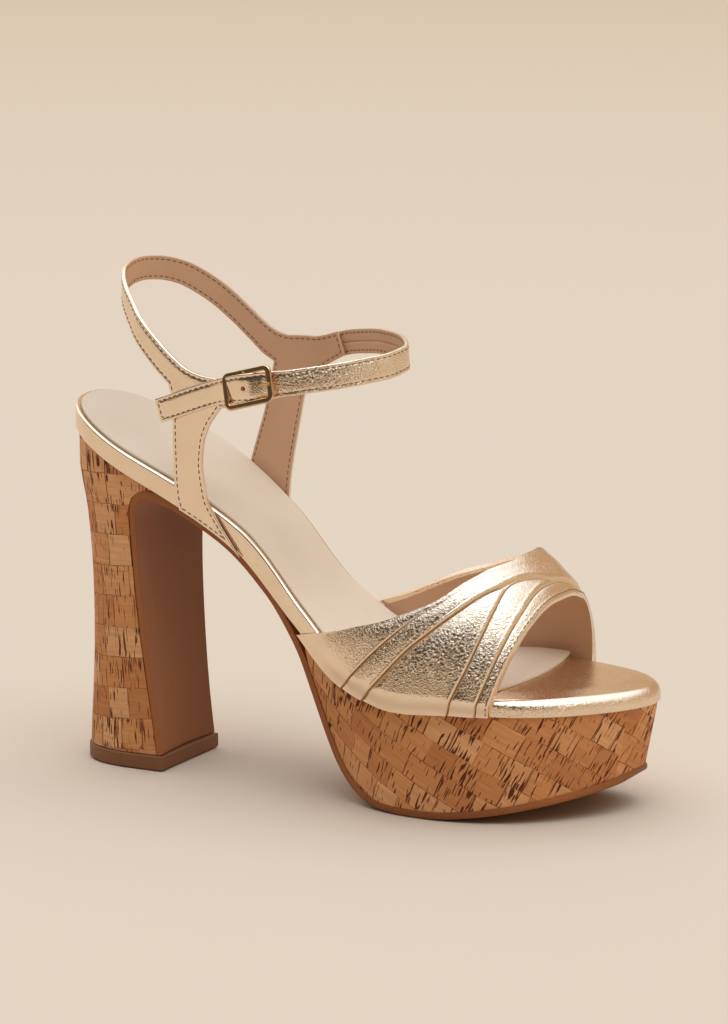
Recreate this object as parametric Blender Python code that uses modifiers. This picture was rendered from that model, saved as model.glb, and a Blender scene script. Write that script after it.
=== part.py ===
"""Block heel platform sandal, right shoe: every piece that a maker puts together, as its own solid.

Metres, +Z up, +X to the toe, +Y to the inner (medial) side.  The origin is the middle of the
heel tip's face on the floor.  Inside this file a station x is counted from the insole's back end.
"""
import math

import bpy
import bmesh
import numpy as np
from mathutils import Vector

# Insole: plan widths and heights above the floor
INSOLE_LENGTH = 0.2166
HEEL_SEAT_WIDTH = 0.0585
OUTER_WAIST = 0.0233
INNER_WAIST = 0.0201
OUTER_BALL = 0.0381
INNER_BALL = 0.0396
HEEL_HEIGHT = 0.1325
PLATFORM_HEIGHT = 0.0445
RIM_THICKNESS = 0.0069
RIM_ROLL = 0.0020
SOCK_THICKNESS = 0.0010
SOCK_INSET = 0.0021
SOCK_LENGTH = 0.1785
SOCK_CORNER_DROP = 0.0045

# Sole, platform and heel
SOLE_THICKNESS = 0.0030
BREAST_THICKNESS = 0.0014
PLATFORM_TOP_INSET = 0.0010
PLATFORM_TAPER = 0.0040
PLATFORM_LEAD = 0.0015
PLATFORM_FEATHER = 0.0004
SOLE_STAND_OUT = 0.0008
SHANK_INSET = 0.0016
TOE_SPRING = 0.0124
COVE_ON_SHANK = 0.0205
COVE_ON_BREAST = 0.0170
BREAST_HOLLOW = 0.0014
BREAST_SIDE_INSET = 0.0003
HEEL_BASE_WIDTH = 0.0400
HEEL_TOP_WIDTH = 0.0566
HEEL_BASE_BACK = 0.0030
HEEL_BASE_FRONT = 0.0388
HEEL_WAIST_FRONT = 0.0318
TIP_THICKNESS = 0.0054
TIP_STAND_OUT = 0.0006
TIP_EDGE = 0.0006

# Upper
UPPER_CLEARANCE = 0.0005
VAMP_HEIGHT = 0.0490
BAND_WALL = 0.0013
OVERLAY_STEP = 0.0009
FOLD_STEP = 0.0006
STRAP_WALL = 0.0015
STRAP_WIDTH = 0.0088
ANKLE_BACK = 0.0193
ANKLE_LENGTH = 0.1082
ANKLE_WIDTH = 0.0600
COLLAR_RISE = 0.0440

# Buckle
BUCKLE_ALONG = 0.596
BUCKLE_LENGTH = 0.0172
BUCKLE_WIDTH = 0.0130
BUCKLE_CORNER = 0.0028
BUCKLE_WIRE = 0.0007
BAR_RADIUS = 0.0006
FRAME_BOW = 0.0004
PRONG_RADIUS = 0.0006
HOLE_RADIUS = 0.0014
HOLE_PITCH = 0.0066

# Pieces that meet keep this gap
GAP = 0.0003

# How finely the pieces are cut into faces
INSOLE_ROWS = 45
SOCK_ROWS = 38
SOCK_COLUMNS = 4
SOLE_ROWS = 80
SOLE_COLUMNS = 5
PLATFORM_ROWS = 44
PLATFORM_LAYERS = 6
VAMP_ROWS = 33
HEEL_STRAP_ROWS = 84
ANKLE_STRAP_ROWS = 90
LEG_ROWS = 12

# Plan of the insole, from the back end down the outer side to the toe and back up the inner side.
# along: share of the insole's length.  across: share of the named width.
PLAN = (
    # along, across, width
    (0.000, 0.000, HEEL_SEAT_WIDTH),
    (0.025, -0.310, HEEL_SEAT_WIDTH),
    (0.120, -0.500, HEEL_SEAT_WIDTH),
    (0.411, -1.000, OUTER_WAIST),
    (0.618, -1.000, OUTER_BALL),
    (0.861, -0.814, OUTER_BALL),
    (0.958, -0.269, OUTER_BALL),
    (1.000, 0.444, INNER_BALL),
    (0.963, 0.758, INNER_BALL),
    (0.871, 0.950, INNER_BALL),
    (0.727, 1.000, INNER_BALL),
    (0.420, 1.000, INNER_WAIST),
    (0.120, 0.500, HEEL_SEAT_WIDTH),
    (0.025, 0.310, HEEL_SEAT_WIDTH),
)

# Side profile of the insole's top.  rise: share of the drop from the heel seat to the ball.
PROFILE = (
    # along, rise
    (0.000, 1.000),
    (0.115, 0.856),
    (0.231, 0.717),
    (0.346, 0.534),
    (0.462, 0.241),
    (0.577, 0.048),
    (0.669, 0.000),
    (0.762, 0.010),
    (0.877, 0.003),
    (1.000, -0.005),
)

# Rolled edge of the wrapped insole.  inset: share of RIM_ROLL.  depth: share of RIM_THICKNESS.
RIM_EDGE = (
    # inset, depth
    (1.30, 0.000),
    (0.55, 0.025),
    (0.14, 0.100),
    (0.05, 0.190),
    (0.26, 0.275),
    (0.06, 0.345),
    (0.00, 0.500),
    (0.00, 0.800),
    (0.16, 0.940),
    (0.50, 1.000),
)

# Walking face of the sole under the platform, toe to the platform's back.
# rise: share of the toe spring in the first table, of the platform's height in the second.
SOLE_FRONT = (
    # along, rise
    (0.9850, 1.000),
    (0.9600, 0.800),
    (0.9200, 0.640),
    (0.8800, 0.520),
    (0.8200, 0.345),
    (0.7600, 0.130),
    (0.7250, 0.000),
    (0.6150, 0.000),
)
SOLE_BACK = (
    # along, rise
    (0.5900, 0.026),
    (0.5630, 0.098),
    (0.5405, 0.215),
    (0.5175, 0.395),
    (0.4965, 0.590),
    (0.4770, 0.795),
    (0.4600, 0.965),
)

# Heel block.  height: share of the height under the seat.  back: shift of the back from its base,
# as a share of the base's depth.  width: share of the way from the base width to the top width.
# front: share of the way from the base's front to the waist's front.
HEEL = (
    # height, back, width, front
    (0.00, 0.000, 0.000, 0.00),
    (0.10, 0.014, 0.010, 0.18),
    (0.22, 0.040, 0.075, 0.40),
    (0.36, 0.062, 0.190, 0.62),
    (0.50, 0.070, 0.310, 0.80),
    (0.64, 0.064, 0.430, 0.93),
    (0.76, 0.045, 0.560, 0.99),
    (0.86, 0.020, 0.730, 1.00),
    (0.94, -0.020, 0.900, 1.00),
    (1.00, -0.045, 1.000, 1.00),
    (1.30, -0.050, 1.000, 1.00),
)

# Heights of the heel block's sections, as shares of the height under the seat
HEEL_LEVELS = (
    0.0, 0.05, 0.1, 0.18, 0.27, 0.36, 0.45, 0.54, 0.63, 0.71, 0.78, 0.84, 0.89, 0.94, 1.0, 1.15, 1.3,
)

# Crown of the vamp over the rim.  rise: share of VAMP_HEIGHT.
CROWN = (
    # along, rise
    (0.430, 1.180),
    (0.500, 1.310),
    (0.560, 1.410),
    (0.646, 1.350),
    (0.716, 1.235),
    (0.762, 1.125),
    (0.803, 1.000),
    (0.836, 0.863),
    (0.868, 0.696),
    (0.900, 0.510),
    (0.950, 0.270),
)

# The vamp: two gathered bands that cross over the toes.  across: share of the arch from the
# outer rim to the inner one.  The other columns are shares of the insole's length: the rear
# edge, the under band's inner fold, the over band's rear edge, fold and front edge, the under
# band's two outer folds, and the front edge at the open toe.
VAMP = (
    # across, rear, fold_d, over_rear, fold_a, over_front, fold_b, fold_c, front
    (0.00, 0.459, 0.459, 0.459, 0.552, 0.596, 0.748, 0.791, 0.813),
    (0.05, 0.506, 0.506, 0.506, 0.594, 0.637, 0.764, 0.803, 0.822),
    (0.10, 0.574, 0.574, 0.574, 0.636, 0.678, 0.777, 0.815, 0.831),
    (0.15, 0.656, 0.656, 0.656, 0.684, 0.721, 0.787, 0.823, 0.840),
    (0.20, 0.720, 0.720, 0.720, 0.736, 0.755, 0.796, 0.830, 0.848),
    (0.25, 0.751, 0.751, 0.751, 0.766, 0.783, 0.803, 0.833, 0.854),
    (0.30, 0.774, 0.774, 0.774, 0.788, 0.804, 0.808, 0.836, 0.858),
    (0.40, 0.800, 0.800, 0.800, 0.812, 0.826, 0.828, 0.838, 0.862),
    (0.50, 0.806, 0.806, 0.806, 0.822, 0.840, 0.841, 0.844, 0.867),
    (0.60, 0.794, 0.805, 0.813, 0.832, 0.853, 0.855, 0.857, 0.862),
    (0.70, 0.766, 0.786, 0.801, 0.824, 0.848, 0.849, 0.849, 0.850),
    (0.80, 0.683, 0.725, 0.755, 0.794, 0.833, 0.834, 0.834, 0.834),
    (0.85, 0.616, 0.674, 0.720, 0.775, 0.834, 0.835, 0.835, 0.835),
    (0.90, 0.552, 0.619, 0.678, 0.752, 0.835, 0.836, 0.836, 0.836),
    (0.95, 0.496, 0.570, 0.637, 0.730, 0.838, 0.839, 0.839, 0.839),
    (1.00, 0.459, 0.540, 0.596, 0.715, 0.844, 0.845, 0.845, 0.845),
)

# Heel strap with a tab at each end, from the outer tab round the heel to the inner tab.
# along: share of ANKLE_LENGTH from ANKLE_BACK.  across: share of half of ANKLE_WIDTH.
# rise: share of COLLAR_RISE over the heel seat.  width: share of STRAP_WIDTH.
HEEL_STRAP = (
    # along, across, rise, width
    (0.590, -1.035, 0.240, 0.96),
    (0.545, -1.028, 0.212, 1.02),
    (0.490, -1.020, 0.180, 1.14),
    (0.420, -1.015, 0.195, 1.15),
    (0.355, -1.000, 0.245, 1.08),
    (0.290, -0.970, 0.350, 1.00),
    (0.215, -0.905, 0.500, 0.98),
    (0.155, -0.810, 0.625, 0.98),
    (0.110, -0.690, 0.735, 0.98),
    (0.065, -0.540, 0.838, 0.98),
    (0.029, -0.360, 0.915, 0.98),
    (0.006, -0.165, 0.970, 0.98),
    (0.000, 0.035, 1.000, 0.98),
    (0.006, 0.235, 1.013, 0.98),
    (0.030, 0.440, 1.005, 0.98),
    (0.076, 0.630, 0.965, 0.98),
    (0.135, 0.790, 0.870, 0.98),
    (0.195, 0.880, 0.755, 0.98),
    (0.258, 0.925, 0.620, 0.98),
    (0.318, 0.945, 0.490, 1.02),
    (0.376, 0.955, 0.385, 1.18),
    (0.440, 0.958, 0.335, 1.36),
    (0.520, 0.950, 0.335, 1.42),
    (0.580, 0.930, 0.380, 1.16),
    (0.640, 0.895, 0.440, 1.00),
)

# Ankle strap from its seam on the inner side, round the front and through the buckle.
# lift: distance out of the strap's own ring, as a share of STRAP_WALL.
ANKLE_STRAP = (
    # along, across, rise, width, lift
    (0.655, 0.884, 0.447, 1.00, 0.00),
    (0.730, 0.800, 0.478, 1.00, 0.00),
    (0.820, 0.640, 0.500, 1.00, 0.00),
    (0.895, 0.455, 0.500, 1.00, 0.00),
    (0.955, 0.250, 0.480, 1.00, 0.00),
    (0.988, 0.030, 0.445, 1.00, 0.00),
    (0.978, -0.240, 0.415, 1.00, 0.00),
    (0.930, -0.510, 0.385, 1.00, 0.00),
    (0.855, -0.760, 0.345, 1.00, 0.10),
    (0.775, -0.930, 0.310, 1.00, 0.45),
    (0.730, -0.988, 0.290, 1.00, 1.00),
    (0.680, -1.020, 0.270, 1.00, 1.40),
    (0.645, -1.033, 0.255, 1.00, 1.85),
    (0.600, -1.036, 0.238, 1.00, 2.35),
    (0.555, -1.033, 0.220, 1.00, 1.85),
    (0.522, -1.027, 0.206, 1.00, 1.35),
    (0.460, -1.018, 0.170, 1.00, 1.25),
    (0.390, -1.008, 0.115, 1.00, 1.25),
    (0.320, -0.990, 0.055, 0.99, 1.25),
    (0.262, -0.968, 0.006, 0.97, 1.30),
)

# Legs of the quarter from the strap down to the rim.  down: share of the way down.
# rear and front: stations as shares of ANKLE_LENGTH from ANKLE_BACK.
OUTER_LEG = (
    # down, rear, front
    (0.00, 0.277, 0.502),
    (0.14, 0.300, 0.452),
    (0.30, 0.303, 0.422),
    (0.52, 0.303, 0.408),
    (0.74, 0.303, 0.415),
    (0.90, 0.306, 0.462),
    (1.00, 0.318, 0.520),
)
INNER_LEG = (
    (0.00, 0.368, 0.525),
    (0.16, 0.360, 0.500),
    (0.36, 0.345, 0.482),
    (0.58, 0.320, 0.466),
    (0.80, 0.294, 0.456),
    (1.00, 0.272, 0.452),
)
OUTER_LEG_SPAN = (0.490, 0.290)
INNER_LEG_SPAN = (0.376, 0.520)


def column(table, index):
    """One column of a table as an array."""
    return np.array([row[index] for row in table], dtype=float)


def smooth(keys, values, at):
    """Curve through the values with no overshoot between them."""
    keys = np.asarray(keys, dtype=float)
    values = np.asarray(values, dtype=float)
    steps = np.diff(keys)
    slopes = np.diff(values) / steps
    bend = np.zeros(len(keys))
    bend[0] = slopes[0]
    bend[-1] = slopes[-1]
    for i in range(1, len(keys) - 1):
        if slopes[i - 1] * slopes[i] > 0.0:
            near = 2.0 * steps[i] + steps[i - 1]
            far = steps[i] + 2.0 * steps[i - 1]
            bend[i] = (near + far) / (near / slopes[i - 1] + far / slopes[i])
    at = np.clip(np.asarray(at, dtype=float), keys[0], keys[-1])
    cell = np.clip(np.searchsorted(keys, at, side="right") - 1, 0, len(keys) - 2)
    width = steps[cell]
    t = (at - keys[cell]) / width
    start = (2.0 * t ** 3 - 3.0 * t ** 2 + 1.0) * values[cell]
    leave = (t ** 3 - 2.0 * t ** 2 + t) * width * bend[cell]
    end = (3.0 * t ** 2 - 2.0 * t ** 3) * values[cell + 1]
    arrive = (t ** 3 - t ** 2) * width * bend[cell + 1]
    return start + leave + end + arrive


def chord_lengths(points):
    """Distance along the points, starting at 0."""
    steps = np.linalg.norm(np.diff(points, axis=0), axis=1)
    return np.concatenate([[0.0], np.cumsum(steps)])


def open_curve(points, count):
    """Evenly spaced points on a smooth curve through the given ones, and where they lie on it."""
    points = np.asarray(points, dtype=float)
    keys = chord_lengths(points)
    at = np.linspace(0.0, keys[-1], count)
    line = np.stack([smooth(keys, points[:, axis], at) for axis in range(points.shape[1])], axis=1)
    return line, at / keys[-1]


def closed_curve(points, per_span):
    """Closed cubic spline through the points, with even curvature across each of them."""
    points = np.asarray(points, dtype=float)
    count = len(points)
    spans = np.linalg.norm(np.roll(points, -1, axis=0) - points, axis=1)
    system = np.zeros((count, count))
    right = np.zeros_like(points)
    for i in range(count):
        before = spans[i - 1]
        after = spans[i]
        system[i, i - 1] += after
        system[i, i] += 2.0 * (before + after)
        system[i, (i + 1) % count] += before
        fore = (points[(i + 1) % count] - points[i]) / after
        back = (points[i] - points[i - 1]) / before
        right[i] = 3.0 * (after * back + before * fore)
    tangents = np.linalg.solve(system, right)
    t = (np.arange(per_span) / per_span)[:, None]
    pieces = []
    for i in range(count):
        j = (i + 1) % count
        pieces.append(
            (2.0 * t ** 3 - 3.0 * t ** 2 + 1.0) * points[i]
            + (t ** 3 - 2.0 * t ** 2 + t) * spans[i] * tangents[i]
            + (3.0 * t ** 2 - 2.0 * t ** 3) * points[j]
            + (t ** 3 - t ** 2) * spans[i] * tangents[j]
        )
    return np.concatenate(pieces)


def plan_points():
    """The insole's outline, closely spaced."""
    along = column(PLAN, 0) * INSOLE_LENGTH
    across = column(PLAN, 1) * column(PLAN, 2)
    return closed_curve(np.stack([along, across], axis=1), 24)


OUTLINE = plan_points()


def outline_sides(inset):
    """Outer and inner side of the outline moved in by a distance, each running back to toe."""
    ahead = np.roll(OUTLINE, -1, axis=0) - np.roll(OUTLINE, 1, axis=0)
    ahead /= np.linalg.norm(ahead, axis=1)[:, None]
    inward = np.stack([-ahead[:, 1], ahead[:, 0]], axis=1)
    moved = OUTLINE + inward * inset
    toe = int(np.argmax(moved[:, 0]))
    heel = int(np.argmin(moved[:, 0]))
    moved = np.roll(moved, -heel, axis=0)
    toe = (toe - heel) % len(moved)
    outer = moved[:toe + 1]
    inner = np.concatenate([moved[toe:], moved[:1]])[::-1]
    return outer, inner


def side_at(inset, x):
    """Outer and inner y of the moved outline at stations x."""
    outer, inner = outline_sides(inset)
    return np.interp(x, outer[:, 0], outer[:, 1]), np.interp(x, inner[:, 0], inner[:, 1])


def insole_top(x):
    """Height of the insole's top at stations x."""
    rise = smooth(column(PROFILE, 0), column(PROFILE, 1), np.asarray(x) / INSOLE_LENGTH)
    return PLATFORM_HEIGHT + rise * (HEEL_HEIGHT - PLATFORM_HEIGHT)


def below_top(x, depth):
    """Points square below the insole's top at stations x, as x and z."""
    x = np.asarray(x, dtype=float)
    reach = 0.0005
    slope = (insole_top(x + reach) - insole_top(x - reach)) / (2.0 * reach)
    size = np.sqrt(1.0 + slope ** 2)
    return x + depth * slope / size, insole_top(x) - depth / size


def height_below(x, depth):
    """Height of the surface that lies square below the insole's top by a depth, at stations x."""
    stations = np.linspace(0.0, INSOLE_LENGTH, 240)
    px, pz = below_top(stations, depth)
    return np.interp(x, px, pz)


def cosine_stations(start, end, count):
    """Stations that crowd towards both ends."""
    share = 0.5 - 0.5 * np.cos(np.linspace(0.0, math.pi, count))
    return start + (end - start) * share


def toe_stations(start, end, count):
    """Stations that crowd towards the toe end only."""
    share = np.sin(np.linspace(0.0, math.pi / 2.0, count))
    return start + (end - start) * share


def new_object(name, mesh):
    """An object for a mesh, in the sandal's collection and in its place."""
    piece = bpy.data.objects.new(name, mesh)
    piece.location.x = -TIP_CENTRE
    SANDAL.objects.link(piece)
    return piece


def mesh_from(name, verts, faces):
    """A mesh with its doubles merged and its faces pointing out."""
    bm = bmesh.new()
    points = [bm.verts.new(Vector(v)) for v in verts]
    for face in faces:
        corners = [points[i] for i in face]
        if len(set(corners)) == len(corners):
            bm.faces.new(corners)
    bmesh.ops.remove_doubles(bm, verts=bm.verts, dist=1e-6)
    bmesh.ops.dissolve_degenerate(bm, dist=1e-7, edges=bm.edges)
    bmesh.ops.recalc_face_normals(bm, faces=bm.faces)
    mesh = bpy.data.meshes.new(name)
    bm.to_mesh(mesh)
    bm.free()
    return mesh


def finish(piece, colour, roughness, metallic=0.0, sharp=35.0):
    """Give a piece its own material and smooth round faces."""
    material = bpy.data.materials.new(piece.name)
    material.use_nodes = True
    shader = material.node_tree.nodes["Principled BSDF"]
    shader.inputs["Base Color"].default_value = (*colour, 1.0)
    shader.inputs["Roughness"].default_value = roughness
    shader.inputs["Metallic"].default_value = metallic
    piece.data.materials.clear()
    piece.data.materials.append(material)
    piece.data.shade_smooth()
    piece.data.set_sharp_from_angle(angle=math.radians(sharp))
    return piece


def grid_faces(rows, columns, start=0, flip=False):
    """Quads of a grid of points, row by row."""
    faces = []
    for r in range(rows - 1):
        for c in range(columns - 1):
            a = start + r * columns + c
            quad = (a, a + 1, a + columns + 1, a + columns)
            faces.append(quad[::-1] if flip else quad)
    return faces


def solid_between(name, sheets):
    """Closed solid from stacked sheets; each sheet is two rows of points, outer side and inner
    side, that run from back to toe.  The first and last sheets are its two faces."""
    count = len(sheets[0][0])
    verts = [tuple(p) for sheet in sheets for side in sheet for p in side]
    faces = []
    for s in range(len(sheets)):
        outer = s * 2 * count
        inner = outer + count
        if s in (0, len(sheets) - 1):
            for i in range(count - 1):
                faces.append((outer + i, outer + i + 1, inner + i + 1, inner + i))
        if s + 1 < len(sheets):
            step = 2 * count
            for side in (outer, inner):
                for i in range(count - 1):
                    faces.append((side + i, side + i + 1, side + step + i + 1, side + step + i))
            for end in (0, count - 1):
                faces.append((outer + end, inner + end, inner + step + end, outer + step + end))
    return mesh_from(name, verts, faces)


def loft(name, rings):
    """Closed solid through rings of points, with a flat face on the first and last ring."""
    count = len(rings[0])
    verts = [tuple(p) for ring in rings for p in ring]
    faces = [tuple(range(count)), tuple(range((len(rings) - 1) * count, len(rings) * count))]
    for r in range(len(rings) - 1):
        for i in range(count):
            j = (i + 1) % count
            faces.append((r * count + i, r * count + j, (r + 1) * count + j, (r + 1) * count + i))
    return mesh_from(name, verts, faces)


def shell_between(name, inner, outer):
    """Closed wall between two grids of points of the same size."""
    rows, columns = inner.shape[:2]
    size = rows * columns
    verts = [tuple(p) for grid in (inner, outer) for p in grid.reshape(-1, 3)]
    faces = grid_faces(rows, columns) + grid_faces(rows, columns, size, True)
    border = list(range(columns))
    border += [r * columns + columns - 1 for r in range(1, rows)]
    border += [(rows - 1) * columns + c for c in range(columns - 2, -1, -1)]
    border += [r * columns for r in range(rows - 2, 0, -1)]
    for a, b in zip(border, border[1:] + border[:1]):
        faces.append((a, b, size + b, size + a))
    return mesh_from(name, verts, faces)


def cut(piece, cutter_mesh, name):
    """Cut a piece with a mesh that stays out of the finished sandal."""
    cutter = bpy.data.objects.new(name, cutter_mesh)
    cutter.location = piece.location
    CUTTERS.objects.link(cutter)
    cutter.hide_render = True
    cutter.display_type = "WIRE"
    modifier = piece.modifiers.new(name, "BOOLEAN")
    modifier.operation = "DIFFERENCE"
    modifier.solver = "EXACT"
    modifier.object = cutter


def sheet_rows(inset, x, z):
    """Outer and inner rows of points for stations x at heights z."""
    outer, inner = side_at(inset, x)
    return np.stack([x, outer, z], axis=1), np.stack([x, inner, z], axis=1)


def footbed_sheet(inset, depth, count):
    """Sheet of the footbed moved in from the outline and square down from the top."""
    outer, inner = outline_sides(inset)
    x = cosine_stations(outer[0, 0], outer[-1, 0], count)
    y_outer = np.interp(x, outer[:, 0], outer[:, 1])
    y_inner = np.interp(x, inner[:, 0], inner[:, 1])
    z = height_below(x, depth)
    return np.stack([x, y_outer, z], axis=1), np.stack([x, y_inner, z], axis=1)


def make_insole():
    """Wrapped footbed with a rolled top edge."""
    sheets = [
        footbed_sheet(inset * RIM_ROLL, depth * RIM_THICKNESS, INSOLE_ROWS)
        for inset, depth in RIM_EDGE
    ]
    piece = new_object("insole", solid_between("insole", sheets))
    return finish(piece, (0.55, 0.40, 0.24), 0.35, 0.8)


def make_sock():
    """Thin lining sheet on the footbed, with a bowed front end."""
    outer, inner = outline_sides(SOCK_INSET)
    back = outer[0, 0]
    verts = []
    for share in cosine_stations(0.0, 1.0, SOCK_ROWS):
        mid = back + (SOCK_LENGTH - back) * share
        for side in np.linspace(-1.0, 1.0, SOCK_COLUMNS):
            x = mid - SOCK_CORNER_DROP * side ** 2 * share ** 3
            low = np.interp(x, outer[:, 0], outer[:, 1])
            high = np.interp(x, inner[:, 0], inner[:, 1])
            y = low + (high - low) * (side + 1.0) / 2.0
            verts.append((float(x), float(y), float(height_below(x, -GAP))))
    piece = new_object("sock", mesh_from("sock", verts, grid_faces(SOCK_ROWS, SOCK_COLUMNS)))
    turn_open_sheet(piece.data, Vector((0.0, 0.0, 1.0)))
    solidify(piece, SOCK_THICKNESS)
    return finish(piece, (0.62, 0.45, 0.36), 0.7)


def turn_open_sheet(mesh, outward):
    """Point the faces of an open sheet along a direction, judged on all of them together."""
    total = sum(f.area * f.normal.dot(outward) for f in mesh.polygons)
    if total < 0.0:
        mesh.flip_normals()


def solidify(piece, thickness):
    """Give an open sheet its wall on the side that its faces point to."""
    modifier = piece.modifiers.new("wall", "SOLIDIFY")
    modifier.thickness = thickness
    modifier.offset = 1.0
    modifier.use_even_offset = True


def heel_front(z):
    """Station of the heel block's front face at height z."""
    rise = (np.asarray(z) - TIP_THICKNESS) / (heel_seat_height() - TIP_THICKNESS)
    share = smooth(column(HEEL, 0), column(HEEL, 3), rise)
    return HEEL_BASE_FRONT + share * (HEEL_WAIST_FRONT - HEEL_BASE_FRONT)


def heel_half_width(z):
    """Half width of the heel block at height z."""
    rise = (np.asarray(z) - TIP_THICKNESS) / (heel_seat_height() - TIP_THICKNESS)
    share = smooth(column(HEEL, 0), column(HEEL, 2), rise)
    return (HEEL_BASE_WIDTH + share * (HEEL_TOP_WIDTH - HEEL_BASE_WIDTH)) / 2.0


def heel_seat_height():
    """Height of the footbed's underside at the waist's front station."""
    return float(height_below(HEEL_WAIST_FRONT, RIM_THICKNESS + GAP))


def sole_path(count):
    """Path of the sole's upper face from the toe, up the platform's back and the shank, round
    the cove and down the heel breast, as x and z, with the share along it of each corner row."""
    front = [
        (along * INSOLE_LENGTH, rise * TOE_SPRING + SOLE_THICKNESS)
        for along, rise in SOLE_FRONT
    ]
    back = [
        (along * INSOLE_LENGTH, rise * PLATFORM_HEIGHT + SOLE_THICKNESS)
        for along, rise in SOLE_BACK
    ]
    under = RIM_THICKNESS + GAP
    cove_start = HEEL_WAIST_FRONT + COVE_ON_SHANK * 0.9
    shank_x = np.linspace(SOLE_BACK[-1][0] * INSOLE_LENGTH - 0.010, cove_start, 7)
    shank = list(zip(shank_x, height_below(shank_x, under)))
    corner = np.array([HEEL_WAIST_FRONT, heel_seat_height()])
    low = corner[1] - COVE_ON_BREAST
    leave = np.array([shank_x[-1], float(height_below(shank_x[-1], under))])
    arrive = np.array([float(heel_front(low)), low])
    cove = []
    for t in np.linspace(0.0, 1.0, 7)[1:]:
        cove.append(tuple((1 - t) ** 2 * leave + 2 * t * (1 - t) * corner + t ** 2 * arrive))
    breast_z = np.linspace(low, TIP_THICKNESS + GAP, 8)[1:]
    breast = [(float(heel_front(z)), z) for z in breast_z]
    rows = front + back + shank + cove + breast
    line, share = open_curve(rows, count)
    keys = chord_lengths(np.array(rows))
    keys = keys / keys[-1]
    marks = {
        "ball": keys[len(front) - 1],
        "shank": keys[len(front) + len(back)],
        "cove": keys[len(front) + len(back) + len(shank) - 1],
        "breast": keys[len(front) + len(back) + len(shank) + len(cove) - 1],
    }
    return line, share, marks


def make_sole_sheets(count, columns):
    """Upper and lower grids of the sole sheet, row by row from the toe to the heel tip."""
    line, share, marks = sole_path(count)
    toe_inset = PLATFORM_TOP_INSET + PLATFORM_TAPER - SOLE_STAND_OUT
    outer, inner = outline_sides(toe_inset)
    toe_x = outer[-1, 0]
    reach = line[0, 0]
    front = share <= marks["ball"]
    line[front, 0] = line[front, 0] + (toe_x - reach) * (1.0 - share[front] / marks["ball"])
    ahead = np.gradient(line, axis=0)
    ahead /= np.linalg.norm(ahead, axis=1)[:, None]
    down = np.stack([-ahead[:, 1], ahead[:, 0]], axis=1)
    keys = [0.0, marks["ball"], marks["shank"], marks["cove"], marks["breast"], 1.0]
    walls = [SOLE_THICKNESS] * 3 + [SOLE_THICKNESS * 0.8] + [BREAST_THICKNESS] * 2
    thick = smooth(keys, walls, share)
    inset = smooth(keys, [toe_inset] * 2 + [SHANK_INSET] * 4, share)
    heel_part = smooth([0.0, marks["cove"], marks["breast"], 1.0], [0.0, 0.0, 1.0, 1.0], share)
    upper = np.zeros((count, columns, 3))
    lower = np.zeros((count, columns, 3))
    for i in range(count):
        low_y, high_y = side_at(inset[i], line[i, 0])
        half = float(heel_half_width(line[i, 1])) - BREAST_SIDE_INSET
        low_y = low_y * (1.0 - heel_part[i]) - half * heel_part[i]
        high_y = high_y * (1.0 - heel_part[i]) + half * heel_part[i]
        for c, side in enumerate(np.linspace(-1.0, 1.0, columns)):
            y = low_y + (high_y - low_y) * (side + 1.0) / 2.0
            back = BREAST_HOLLOW * (1.0 - side ** 2) * heel_part[i]
            upper[i, c] = (line[i, 0] - back, y, line[i, 1])
            low = line[i] + down[i] * thick[i]
            lower[i, c] = (low[0] - back, y, low[1])
    return upper, lower


def make_outsole():
    """Thin sole from the toe to the shank that turns down over the heel's front face."""
    upper, lower = make_sole_sheets(SOLE_ROWS, SOLE_COLUMNS)
    piece = new_object("outsole", shell_between("outsole", upper, lower))
    return finish(piece, (0.20, 0.10, 0.06), 0.6)


def platform_bottom(x):
    """Height of the platform's underside at stations x."""
    line, share, marks = sole_path(SOLE_ROWS * 2)
    front = share <= marks["shank"]
    order = np.argsort(line[front, 0])
    lift = GAP * 1.8
    return np.interp(x, line[front, 0][order], line[front, 1][order]) + lift


def make_platform():
    """Cork wedge between the footbed and the sole."""
    start = SOLE_BACK[-1][0] * INSOLE_LENGTH + PLATFORM_LEAD
    sheets = []
    for share in np.linspace(0.0, 1.0, PLATFORM_LAYERS):
        inset = PLATFORM_TOP_INSET + PLATFORM_TAPER * share ** 1.15
        outer, _ = outline_sides(inset)
        x = toe_stations(start, outer[-1, 0], PLATFORM_ROWS)
        top = height_below(x, RIM_THICKNESS + GAP)
        bottom = np.minimum(platform_bottom(x), top - PLATFORM_FEATHER)
        sheets.append(sheet_rows(inset, x, top + (bottom - top) * share))
    piece = new_object("platform", solid_between("platform", sheets))
    return finish(piece, (0.50, 0.25, 0.12), 0.75)


def heel_ring(z, back, half, front, front_half):
    """Section of the heel block: straight sides, a round back and an open straight front."""
    centre = min(front, back + half * 1.3)
    reach = centre - back
    points = []
    for angle in np.linspace(-math.pi / 2.0, math.pi / 2.0, 27):
        c = abs(math.cos(angle)) ** (2.0 / 2.4)
        s = math.copysign(abs(math.sin(angle)) ** (2.0 / 2.4), math.sin(angle))
        points.append((centre - reach * c, half * s, z))
    points.append((front, front_half, z))
    points.append((front, -front_half, z))
    return points


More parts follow.
